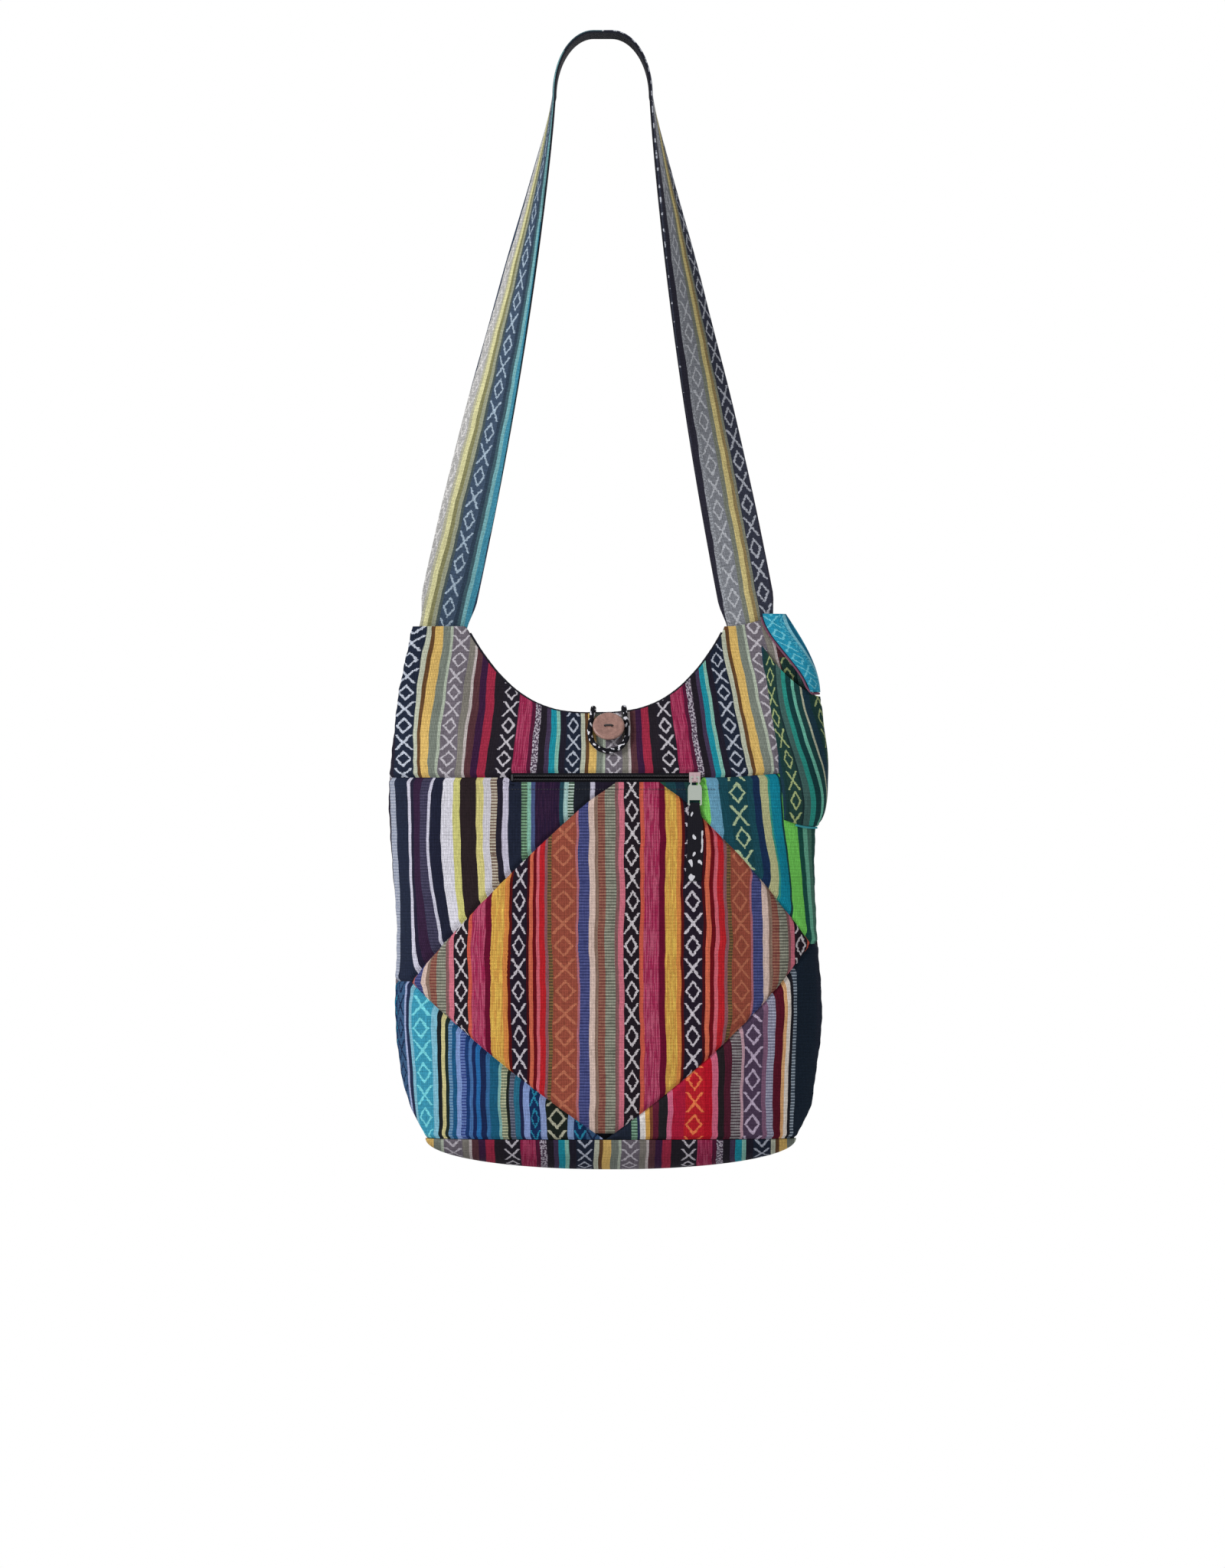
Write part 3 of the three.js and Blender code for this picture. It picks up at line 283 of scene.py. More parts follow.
# Front patches. Five pieces of striped handwoven cotton are sewn into the front: a tilted diamond between two
# upper and two lower side pieces. Each has its own cloth, whose stripes run up the bag.
body_width, body_depth = 380.0, 100.0
tip_height, neck_height, band_height = 487.0, 409.0, 28.0
yoke_seam_height = 350.5
seam_gap, seam_climb = 0.4, 5.0
side_roundness = 2.2
zip_left_x, zip_right_x = -83.0, 88.0
zip_slot_half = 4.0
shell_cloth = 1.4
side_outline = np.array([
    [0.0, -0.834, 0.911], [0.0575, -0.834, 0.911], [0.113, -0.9, 0.977], [0.168, -0.942, 1.0],
    [0.281, -0.974, 1.032], [0.448, -0.968, 1.005], [0.56, -0.989, 0.995], [0.671, -1.005, 1.005],
    [0.727, -1.0, 1.005], [0.811, -0.979, 0.989], [0.867, -0.968, 0.968], [0.923, -0.942, 0.942],
    [1.0, -0.9, 0.853], [1.04, -0.88, 0.81],
])
depth_profile = np.array([
    [0.0, 0.7, 0.12], [0.0575, 0.7, 0.12], [0.123, 0.9, 0.12], [0.246, 1.0, 0.14], [0.41, 0.98, 0.18],
    [0.575, 0.9, 0.36], [0.66, 0.83, 0.48], [0.72, 0.765, 0.5], [0.78, 0.66, 0.52], [0.84, 0.32, 0.56],
    [0.9, 0.17, 0.68], [1.0, 0.1, 0.9], [1.04, 0.1, 0.9],
])


def table_curve(rows, column, scale):
    """A smooth curve through a table's rows: between two of them a cubic with the neighbours' slopes."""
    heights = rows[:, 0] * tip_height
    values = rows[:, column] * scale
    ahead = np.minimum(np.arange(len(rows)) + 1, len(rows) - 1)
    behind = np.maximum(np.arange(len(rows)) - 1, 0)
    slopes = (values[ahead] - values[behind]) / (heights[ahead] - heights[behind])

    def curve(height):
        """The cubic between the two rows that hold this height."""
        i = np.searchsorted(heights[1:-1], height)
        span = heights[i + 1] - heights[i]
        t = np.clip((height - heights[i]) / span, 0, 1)
        return ((2 * t**3 - 3 * t**2 + 1) * values[i] + (t**3 - 2 * t**2 + t) * span * slopes[i]
                + (3 * t**2 - 2 * t**3) * values[i + 1] + (t**3 - t**2) * span * slopes[i + 1])
    return curve


left_edge = table_curve(side_outline, 1, body_width / 2)
right_edge = table_curve(side_outline, 2, body_width / 2)
half_depth = table_curve(depth_profile, 1, body_depth / 2)
flat_share = table_curve(depth_profile, 2, 1.0)


def centre_x(height):
    """The middle between the bag's left and right edges."""
    return (left_edge(height) + right_edge(height)) / 2


def half_width(height):
    """Half the distance between the bag's left and right edges."""
    return (right_edge(height) - left_edge(height)) / 2


def lerp(a, b, t):
    """The value at a share t of the way from a to b."""
    return a + (b - a) * t


def smoothstep(value, low, high):
    """Rises from 0 at low to 1 at high along 3t^2 - 2t^3."""
    t = np.clip((value - low) / (high - low), 0, 1)
    return t * t * (3 - 2 * t)


def wall_share(share, height):
    """How far out the wall stands: 1 over the flat share of the width, then a superellipse down to 0."""
    flat = flat_share(height)
    past = np.clip((np.abs(share) - flat) / (1 - flat), 0, 1)
    return (1 - past**side_roundness) ** (1 / side_roundness)


def wall_point(share, height, inset, side):
    """A point of the body's wall at a share of its half width. side is -1 in front and 1 behind."""
    seam = seam_gap / 2
    share, height, inset = np.broadcast_arrays(share, height, inset)
    x = centre_x(height) + (half_width(height) - inset) * share
    y = side * (seam + np.maximum(half_depth(height) - inset - seam, 0.2) * wall_share(share, height))
    return np.stack([x, y, height], -1)


def share_at(x, height):
    """How far out x lies, as a share of the half width: -1 at the left edge, 1 at the right."""
    return np.clip((x - centre_x(height)) / half_width(height), -1, 1)


arc_step = 4.0
arc_heights = np.arange(0.0, 521.0, arc_step)
arc_shares = np.sin(np.linspace(0, np.pi / 2, 200))
arc_x = half_width(arc_heights)[:, None] * arc_shares
arc_y = half_depth(arc_heights)[:, None] * wall_share(arc_shares[None], arc_heights[:, None])
arc_steps = np.hypot(np.diff(arc_x, axis=1), np.diff(arc_y, axis=1))
arc_lengths = np.hstack([np.zeros((len(arc_heights), 1)), np.cumsum(arc_steps, axis=1)])


def cloth_x(share, height):
    """Where the cloth lies across, measured along it from the middle of the bag, as a tape would."""
    share, height = np.broadcast_arrays(share, height)
    row = np.clip(height / arc_step, 0, len(arc_heights) - 1.001)
    column = np.interp(np.abs(share), arc_shares, np.arange(len(arc_shares)))
    column = np.clip(column, 0, len(arc_shares) - 1.001)
    r, c = row.astype(int), column.astype(int)
    fr, fc = row - r, column - c
    length = (lerp(arc_lengths[r, c], arc_lengths[r, c + 1], fc) * (1 - fr)
              + lerp(arc_lengths[r + 1, c], arc_lengths[r + 1, c + 1], fc) * fr)
    return centre_x(height) + np.sign(share) * length


def folds(x, height, lines):
    """Soft ridges along lines: a bell across each line, fading out at its two ends."""
    total = np.zeros(np.broadcast_shapes(np.shape(x), np.shape(height)))
    for x0, h0, x1, h1, width, rise in lines:
        length = np.hypot(x1 - x0, h1 - h0)
        along = ((x - x0) * (x1 - x0) + (height - h0) * (h1 - h0)) / length**2
        across = ((x - x0) * (h1 - h0) - (height - h0) * (x1 - x0)) / length
        total = total + rise * np.exp(-((across / width) ** 2)) * smoothstep(along, -0.2, 0.2) * (
            1 - smoothstep(along, 0.75, 1.2))
    return total


front_folds = [
    (-163, 470, -146, 260, 14, 3.2), (-130, 445, -118, 335, 9, 2.2), (-152, 300, -166, 110, 15, 3.0),
    (-70, 330, -84, 90, 22, 2.4), (15, 300, 6, 60, 26, 2.0), (92, 320, 108, 80, 22, 2.6),
    (150, 300, 165, 100, 14, 2.8), (146, 458, 156, 335, 11, 2.4), (-88, 405, -38, 366, 8, 1.8),
    (82, 402, 42, 366, 8, 1.7), (-120, 62, 110, 52, 11, 1.8), (-30, 250, 40, 150, 15, -1.6),
    (-120, 210, -60, 150, 9, 1.5), (60, 250, 120, 190, 9, 1.4), (-20, 120, 70, 95, 10, 1.4),
]
strip_far_x = -72.0


def drape(x, height):
    """How the front stands out from its plain form: listed folds and low waves, flat round
    the button, along the zip and where the pull strip lies when the zip is open."""
    waves = 0.6 * np.sin(x / 19 + height / 90) + 0.5 * np.sin(x / 41 - height / 47 + 2)
    near_button = np.exp(-(((x - button_x) / 34) ** 2) - ((height - button_height) / 30) ** 2)
    near_zip = np.exp(-(((height - yoke_seam_height) / 16) ** 2)) * smoothstep(110 - np.abs(x), 0, 20)
    under_strip = np.exp(-(((x - strip_far_x) / 18) ** 2)) * smoothstep(height, 225, 250)
    flat = (1 - near_button) * (1 - near_zip) * (1 - under_strip)
    return (1.25 * folds(x, height, front_folds) + waves) * flat


def seam_dip(distance, run):
    """How far cloth sinks near a seam: a bell-shaped groove at the stitches, a low ridge beside it, and small
    puckers, two sines along the seam that fade within a centimetre."""
    groove = 1.7 * np.exp(-((distance / 1.9) ** 2)) - 0.6 * np.exp(-(((distance - 5.0) / 3.2) ** 2))
    puckers = np.exp(-distance / 8) * (0.3 * np.sin(run / 1.9) + 0.4 * np.sin(run / 4.6 + 1))
    return groove + puckers


def shell(name, outer, inner, weave, cloth):
    """A sheet with two faces and a rim, from two grids of points and one grid of weave places."""
    rows, columns = outer.shape[:2]
    index = np.arange(rows * columns).reshape(rows, columns)
    a, b, c, d = index[:-1, :-1], index[:-1, 1:], index[1:, 1:], index[1:, :-1]
    front = np.stack([a, b, c, d], -1).reshape(-1, 4)
    back = front[:, ::-1] + rows * columns
    rim = np.concatenate([index[0, :-1], index[:-1, -1], index[-1, :0:-1], index[:0:-1, 0]])
    after = np.roll(rim, -1)
    edge = np.stack([after, rim, rim + rows * columns, after + rows * columns], -1)
    points = np.vstack([outer.reshape(-1, 3), inner.reshape(-1, 3)])
    piece = mesh_piece(name, points, np.vstack([front, back, edge]), np.vstack([weave.reshape(-1, 2)] * 2))
    face_out(piece)
    piece.data.materials.append(cloth)
    return piece


def crowded(count):
    """Places from 0 to 1 that stand three times closer at both ends, where the seams are."""
    t = np.linspace(0, 1, count)
    return t - 0.7 * np.sin(2 * np.pi * t) / (2 * np.pi)


def slot_edge(x):
    """Half the height of the zip's slot at x: zero beyond its ends."""
    past_left = smoothstep(x, zip_left_x - 1, zip_left_x + 1)
    return zip_slot_half * past_left * smoothstep(-x, -zip_right_x - 1, -zip_right_x + 1)


def yoke_seam(x, side):
    """Height of the cloth's edge at the yoke seam, above it for side 1 and below it for side -1."""
    climb = seam_climb * smoothstep(x, zip_right_x + 10, body_width / 2)
    return yoke_seam_height + climb + side * (slot_edge(x) + seam_gap / 4)


def striped_cloth(name, plan, motif_run=40.0, motif_start=0.0, tint_and_painted_shade=(1.0, 1.0, 1.0)):
    """Handwoven warp stripes. plan lists (yarn, width) or (yarn, width, motif, motif yarn) across one repeat.
    A cross and ring motif is |across| = |along| and |across| + |along| = 1 in its stripe, in steps of a yarn;
    ticks are short weft bars, specks single raised threads and strands long ones. The last argument multiplies
    each yarn: a colour correction, and on the band's copy of the main cloth a painted shade."""
    shader = Shader(name, Roughness=0.95, Specular_IOR_Level=0.06)
    math, noise = shader.math, shader.noise
    kinds = {"plain": 0.0, "specks": 0.25, "ticks": 0.5, "strands": 0.75, "cross": 1.0}
    full_width = 40.0
    stripes = [stripe if len(stripe) > 2 else (*stripe, "plain", stripe[0]) for stripe in plan]
    yarns, widths, motifs, motif_yarns = zip(*stripes)
    total = sum(widths)
    starts = np.cumsum((0, *widths[:-1])) / total
    across, along = shader.weave_mm()
    sway = math("MULTIPLY", math("SUBTRACT", noise(across, along, 60, 45), 0.5), 5.0)
    place = math("FRACT", math("DIVIDE", math("ADD", across, sway), total))
    upper = math("GREATER_THAN", place, 0.5)

    def lookup(values):
        """Reads a value per stripe through two stepped ramps, one for each half of the repeat."""
        halves = []
        for half in (0, 1):
            ramp = shader.node("ShaderNodeValToRGB")
            ramp.color_ramp.interpolation = "CONSTANT"
            shader.feed(ramp.inputs[0], math("MULTIPLY_ADD", place, 2.0, -float(half)))
            inside = [(2 * s - half, v) for s, v in zip(starts, values) if 0 < 2 * s - half < 1]
            before = [v for s, v in zip(starts, values) if 2 * s - half <= 0][-1]
            elements = ramp.color_ramp.elements
            elements.remove(elements[1])
            elements[0].position, elements[0].color = 0.0, before
            for position, value in inside:
                elements.new(position).color = value
            halves.append(ramp.outputs[0])
        return shader.mix(upper, *halves)

    tint_and_painted_shade_rgba = np.array([*tint_and_painted_shade, 1.0])
    ground = lookup([np.minimum(yarn(code) * tint_and_painted_shade_rgba, 1) for code in yarns])
    raised = lookup([np.minimum(yarn(code) * tint_and_painted_shade_rgba, 1) for code in motif_yarns])
    facts = shader.node("ShaderNodeSeparateColor")
    shader.feed(facts.inputs[0], lookup([(start + width / total / 2, width / full_width, kinds[motif], 1)
                                         for start, width, motif in zip(starts, widths, motifs)]))
    centre, half_stripe, kind = facts.outputs

    def stepped(value, step):
        """The middle of the step that a value falls in."""
        return math("MULTIPLY", math("ADD", math("FLOOR", math("DIVIDE", value, step)), 0.5), step)

    def gap(a, b):
        """How far two values lie apart."""
        return math("ABSOLUTE", math("SUBTRACT", a, b))

    def only(motif, pattern):
        """Keeps a pattern to the stripes of its kind."""
        return math("MULTIPLY", pattern, math("COMPARE", kind, kinds[motif], 0.1))

    tremble = math("MULTIPLY", math("SUBTRACT", noise(across, along, 3.2, 2.6, 1.0), 0.5), 2.8)
    off_centre = math("MULTIPLY", math("SUBTRACT", place, centre), total)
    from_middle = math("ABSOLUTE", stepped(math("ADD", tremble, off_centre), 0.75))
    reach = math("DIVIDE", from_middle, math("MULTIPLY", half_stripe, 0.415 * full_width))
    up = math("DIVIDE", math("SUBTRACT", stepped(along, 0.9), motif_start), motif_run)
    up = math("MULTIPLY", math("FRACT", up), motif_run)
    to_cross, to_ring = gap(up, motif_run * 0.25), gap(up, motif_run * 0.75)
    cross = math("LESS_THAN", gap(reach, math("DIVIDE", to_cross, 0.225 * motif_run)), 0.19)
    cross = math("MULTIPLY", cross, math("LESS_THAN", to_cross, 0.23 * motif_run))
    ring = math("LESS_THAN", gap(math("ADD", reach, math("DIVIDE", to_ring, 0.24 * motif_run)), 0.88), 0.17)
    crosses = only("cross", math("MAXIMUM", cross, ring))
    bars = math("ADD", shader.ribs(along, 2.7), noise(across, along, 9, 4.5, 1.0))
    ticks = only("ticks", math("GREATER_THAN", bars, 1.2))
    specks = only("specks", math("GREATER_THAN", noise(across, along, 1.6, 1.8, 0.0), 0.5))
    strands = only("strands", math("GREATER_THAN", noise(across, along, 1.1, 24, 1.0), 0.5))
    pattern = math("MAXIMUM", math("MAXIMUM", crosses, ticks), math("MAXIMUM", specks, strands))
    crossings = math("MULTIPLY", shader.ribs(across, 1.25), shader.ribs(along, 1.5))
    rows = math("MULTIPLY", shader.ribs(along, 3.4), noise(across, along, 4, 3, 1.0))
    colour = shader.mix(pattern, ground, raised)
    # Of these greys, the one by the yarn crossings is painted shade in the gaps between yarns; the two noises
    # are the yarns' own uneven tone, and the rows the weft's texture.
    for low, high, factor in ((0.6, 1.32, noise(across, along, 0.9, 14, 3.0)),
                              (0.72, 1.2, noise(across, along, 2.4, 2.0, 1.0)),
                              (0.56, 1.04, crossings), (0.91, 1.18, rows)):
        colour = shader.shade(colour, low, high, factor)
    shader.feed(shader.surface.inputs["Base Color"], colour)
    shader.bump(math("ADD", crossings, math("MULTIPLY", pattern, 0.5)), 0.45, 0.8)
    return shader.material


diamond_cloth = striped_cloth("diamond_cloth", [
    ("3a4072", 9, "ticks", "585e94"), ("dcc3b8", 5), ("8d7466", 3), ("7e4640", 6, "ticks", "a0705f"),
    ("6b6b60", 9, "ticks", "a8a898"), ("8a5f60", 3), ("d8788a", 5), ("241c24", 14, "cross", "d6cfd4"),
    ("d4604e", 3.5), ("a52c55", 13.5, "strands", "c05876"), ("6b1030", 5.5),
    ("e5ba58", 10, "strands", "d69f4c"), ("d98a48", 3.5), ("5c1416", 2.5),
    ("241c2a", 15.5, "cross", "d3cdd6"), ("4c1018", 2.5), ("d86e52", 4), ("6e0f1a", 3.5), ("d96a78", 3.5),
    ("c4272f", 5.5), ("94606a", 3), ("8b6c44", 4, "ticks", "5c4c36"), ("9c5040", 18, "cross", "bf7258"),
    ("b5707a", 2),
], motif_start=11.0)
upper_left_cloth = striped_cloth("upper_left_cloth", [
    ("b4bacb", 9.5, "ticks", "98a0b4"), ("252c40", 15), ("d3d1e2", 3), ("262338", 3.5), ("38243f", 7.5),
    ("4c4862", 8, "ticks", "3a3850"), ("d4d2e4", 2.5), ("23263a", 8.5), ("e6e4ef", 9), ("d8d484", 5.5),
    ("2e2427", 14), ("dad086", 6), ("d6d3dc", 7), ("7d675c", 5.5, "ticks", "c9c0ae"), ("262230", 5.5),
    ("cfcade", 5.5), ("22283a", 11.5), ("46604e", 5.5, "ticks", "82ab88"), ("8cc3ae", 3.5), ("4c5a86", 3.5),
    ("37223e", 22, "strands", "2b1c38"), ("254a58", 4), ("a9ccc8", 3.5), ("3f5a48", 5, "ticks", "c3d6cc"),
    ("20242e", 14.5), ("cac6d8", 4.5), ("241d2e", 20),
])
upper_right_cloth = striped_cloth("upper_right_cloth", [
    ("1e3f3c", 3), ("24463c", 14, "cross", "b9cfae"), ("1d3c44", 8), ("1a2a38", 8), ("203a3a", 10),
    ("7fbf56", 9), ("6d92ac", 10), ("1c4450", 8), ("1d4048", 17, "cross", "b9b690"), ("1e4450", 5.5),
    ("1b2a4a", 6), ("bba77c", 7), ("3a8a7c", 2), ("157a90", 9), ("1b3a3c", 2), ("7cc257", 13),
    ("1d4a42", 5.5), ("6fa38a", 5), ("4a6a5c", 6), ("22443e", 8),
], motif_start=27.0, tint_and_painted_shade=(1.0, 1.3, 1.3))
lower_left_cloth = striped_cloth("lower_left_cloth", [
    ("3c5c82", 12, "cross", "1d2b4c"), ("a9b4da", 2.5), ("252f4e", 4), ("86c0d4", 3),
    ("3f9cba", 17, "cross", "7fe0ec"), ("86c4da", 5), ("1c2024", 3.5), ("d4cc92", 3.5), ("1e2c28", 3),
    ("4f7ba6", 3.5, "ticks", "7ba3c4"), ("1f5a86", 4), ("86a0d6", 4), ("3a4c8c", 4.5, "ticks", "6c84c0"),
    ("1c3c74", 3), ("4a74ac", 3), ("1c2c5c", 3), ("2a6eae", 4), ("1b2a54", 5), ("3a6ea2", 3.5),
    ("1e6080", 7.5), ("84b8b4", 2.5), ("75806a", 5, "ticks", "c0c2a0"), ("1d221e", 2.5),
    ("4c5468", 4, "ticks", "767c90"), ("2a708c", 5), ("22284e", 3), ("8ca2d8", 5.5),
    ("16305c", 9, "cross", "2c8cae"), ("92a4d4", 5), ("1d2420", 19, "cross", "b9b8a2"), ("86a0cc", 5.5),
    ("173058", 11, "cross", "2c8cae"),
], motif_start=17.5)
lower_right_cloth = striped_cloth("lower_right_cloth", [
    ("1e2432", 19), ("44604e", 5.5, "ticks", "83a48e"), ("262c4a", 2), ("ddd3d0", 5), ("cc9a4e", 4),
    ("74402a", 2.5), ("5c1c30", 5), ("211f22", 7.5), ("c86480", 4.5), ("a81c38", 11),
    ("b81e2a", 17, "cross", "e8764a"), ("b01426", 7), ("c4607a", 5.5), ("221c1f", 5.5), ("4c1a2a", 6),
    ("8c8486", 9, "ticks", "4c3c44"), ("b8909c", 2.5), ("4c3a50", 17.5, "cross", "bba6bc"), ("7a566e", 4),
    ("77748a", 6.5, "ticks", "a8a4b8"), ("561424", 7), ("d6a070", 3), ("dcccc4", 4), ("1e1c22", 3),
    ("3c4654", 4, "ticks", "9aa2ae"), ("192330", 26),
], motif_start=12.0, tint_and_painted_shade=(1.15, 1.22, 1.22))

diamond_left_height, diamond_right_height = 168.6, 202.0
diamond_left_x, diamond_right_x, diamond_bottom_x = -172.0, 187.0, 2.0
diamond_top_left_x, diamond_top_right_x = 12.0, 51.0
diamond_foot = band_height + 6
front_bottom = band_height + seam_gap
diamond_bulge, low_right_bulge = 8.0, 15.0


def slant(from_x, from_height, to_x, to_height, bulge):
    """A patch's slanting edge, x at a height: straight, with a parabola's bulge between its corners."""
    def edge(height):
        """The straight line between the corners, with 4 t (1 - t) of the bulge added."""
        t = np.clip((height - from_height) / (to_height - from_height), 0, 1)
        return lerp(from_x, to_x, t) + bulge * 4 * t * (1 - t)
    return edge


lower_left_slant = slant(diamond_bottom_x, band_height,
                         diamond_left_x, diamond_left_height, -diamond_bulge)
upper_left_slant = slant(diamond_left_x, diamond_left_height,
                         diamond_top_left_x, yoke_seam_height, -diamond_bulge)
lower_right_slant = slant(diamond_bottom_x, band_height,
                          diamond_right_x, diamond_right_height, low_right_bulge)
upper_right_slant = slant(diamond_right_x, diamond_right_height,
                          diamond_top_right_x, yoke_seam_height, diamond_bulge)


def diamond_left(height):
    """The diamond's left edge: the lower slant up to its left corner, then the upper one."""
    return np.where(height < diamond_left_height, lower_left_slant(height), upper_left_slant(height))


def diamond_right(height):
    """The diamond's right edge: the lower slant up to its right corner, then the upper one."""
    return np.where(height < diamond_right_height, lower_right_slant(height), upper_right_slant(height))


def in_plan(across, pairs):
    """Where a point lies in a stripe plan. pairs are places across the bag and in the plan, in mm. Straight
    lines join them, because the cloth was stretched unevenly when it was sewn, and go on at a slope of 1."""
    known, place = np.array(pairs, float).T
    return (np.interp(across, known, place) + np.minimum(across - known[0], 0)
            + np.maximum(across - known[-1], 0))


def upright(across, height=0.0):
    """No lean: the stripes stand straight."""
    return 0 * across


def patch(name, node, low, high, left, right, columns, rows, pairs, lean, cloth):
    """A front patch between two edge lines, x at a height, or None at the side seam. pairs place its stripes,
    and lean gives how far they lie to the right at a place across and a height."""
    v = crowded(rows)[:, None]
    u = crowded(columns)[None]
    height = lerp(low, high, v) + 0 * u
    left_share = share_at(left(height), height) if left else -np.ones_like(height)
    right_share = share_at(right(height), height) if right else np.ones_like(height)
    share = np.sin(lerp(np.arcsin(left_share), np.arcsin(right_share), u))
    x = centre_x(height) + half_width(height) * share
    if high == yoke_seam_height:
        height = height + smoothstep(height, high - 24, high) * (yoke_seam(x, -1) - high)
    across = cloth_x(share, height)
    steep_left = np.gradient(left(height[:, 0]), height[:, 0]) if left else np.zeros(rows)
    steep_right = np.gradient(right(height[:, 0]), height[:, 0]) if right else np.zeros(rows)
    distance = np.minimum.reduce([
        (across - across[:, :1]) / np.hypot(1, steep_left)[:, None],
        (across[:, -1:] - across) / np.hypot(1, steep_right)[:, None],
        height - height[:1], height[-1:] - height])
    lip = slot_edge(x) / zip_slot_half * np.exp(-(((height - yoke_seam_height) / 10) ** 2))
    dip = seam_dip(distance, height + 0.7 * x) * (1 - lip) - drape(x, height) * smoothstep(distance, 0, 16)
    outer = wall_point(share, height, dip, -1)
    inner = wall_point(share, height, dip + shell_cloth, -1)
    weave = np.stack([in_plan(across - lean(across, height), pairs), height], -1)
    piece = shell(name, outer, inner, weave, cloth)
    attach(piece, "bag")
    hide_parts(node)
    return piece


def upper_left_lean(across, height):
    """The lower the height, the further right the stripes lie, but not at the side seam."""
    return 0.086 * np.maximum(0, 286 - height) * smoothstep(across, -190, -150)


def upper_right_lean(across, height):
    """The stripes lie further right the lower they are, by a fixed slope from the yoke seam down."""
    return 0.12 * (yoke_seam_height - height)


diamond = patch("diamond_front", "diamond_patch", diamond_foot, yoke_seam_height, diamond_left, diamond_right,
                130, 120, [(-169.5, 0), (-98.6, 76.5), (-79.6, 92.5), (-45.3, 134), (-20.8, 154)],
                upright, diamond_cloth)
upper_left = patch("upper_left_front", "patch_upper_left", diamond_left_height, yoke_seam_height, None,
                   upper_left_slant, 90, 80, [(-199.5, 0)], upper_left_lean, upper_left_cloth)
upper_right = patch("upper_right_front", "patch_upper_right", diamond_right_height, yoke_seam_height,
                    upper_right_slant, None, 80, 70, [(39.5, 0)], upper_right_lean, upper_right_cloth)
lower_left = patch("lower_left_front", "patch_lower_left", front_bottom, diamond_left_height, None,
                   lower_left_slant, 90, 70, [(-193, 0), (-50, 140)], upright, lower_left_cloth)
lower_right = patch("lower_right_front", "patch_lower_right", front_bottom, diamond_right_height,
                    lower_right_slant, None, 90, 80, [(6.5, 0)], upright, lower_right_cloth)


# Yoke, back panel and bottom band. All three are cut from one striped cloth: the yoke over the front between
# the zip seam and the neckline, the back in one piece, and the band that closes the bag below, whose copy of
# the cloth is darkened as painted shade.
neck_rise, neck_low_x = 73.0, -11.0
neck_left_reach, neck_right_reach = 108.0, 117.0
neck_left_power, neck_right_power, neck_steepest = 2.6, 3.0, 2.4
right_tip_rise = 8.0
binding_size = 2.4
main_plan = [
    ("e8c272", 7), ("828a80", 6), ("b9c4b2", 2.5), ("77707a", 15.5, "cross", "cfcad2"), ("8a867e", 5.5),
    ("cdc3c2", 2.5), ("5e3a40", 5.5), ("3e2142", 6), ("a8304a", 7.5), ("27222a", 8),
    ("26222c", 15, "cross", "d5d0d8"), ("9e2850", 13, "strands", "b84a6c"), ("5a1c3a", 3.5),
    ("57485a", 5.5, "specks", "c4bcc8"), ("252029", 6), ("4a3c58", 4), ("2098ac", 5.5), ("8fc8b8", 3.5),
    ("252230", 6), ("222a3c", 15, "cross", "c3cad8"), ("c6cbb6", 4), ("6a4a30", 3.5),
]
main_cloth = striped_cloth("main_cloth", main_plan, motif_run=29.5, motif_start=20.8)


def neckline(x):
    """Height of the mouth's edge: low in the middle, then a power curve up to each tip."""
    reach = np.where(x < neck_low_x, neck_left_reach, neck_right_reach)
    power = np.where(x < neck_low_x, neck_left_power, neck_right_power)
    return neck_height + neck_rise * (np.abs(x - neck_low_x) / reach) ** power


def top_height(share, below):
    """Height of the body's top at a share of its width, or that far below it, square to the neckline. The
    place where the wall meets the neckline is closed in on by halving."""
    share = np.asarray(share, float)
    highest = tip_height + right_tip_rise * smoothstep(share, 0.7, 1) * (share > 0)
    low, high = np.full(share.shape, neck_height * 0.9), highest.copy()
    for _ in range(30):
        middle = (low + high) / 2
        clears = middle > neckline(wall_point(share, middle, 0, -1)[..., 0])
        high = np.where(clears, middle, high)
        low = np.where(clears, low, middle)
    x = wall_point(share, low, 0, -1)[..., 0]
    slope = np.minimum(np.abs(neckline(x + 0.5) - neckline(x - 0.5)), neck_steepest)
    at_tip = highest <= neckline(wall_point(share, highest, 0, -1)[..., 0])
    return np.where(at_tip, highest - below, low - below * np.hypot(1, slope))


def yoke_lean(across):
    """How far the yoke's stripes lean: to the right going up on the left side, to the left on the right."""
    return np.interp(across, [-190, -75, -45, -22, 18, 45, 75, 105, 190],
                     [0.1, 0.11, 0.08, 0.0, -0.03, -0.1, -0.14, -0.2, -0.2])


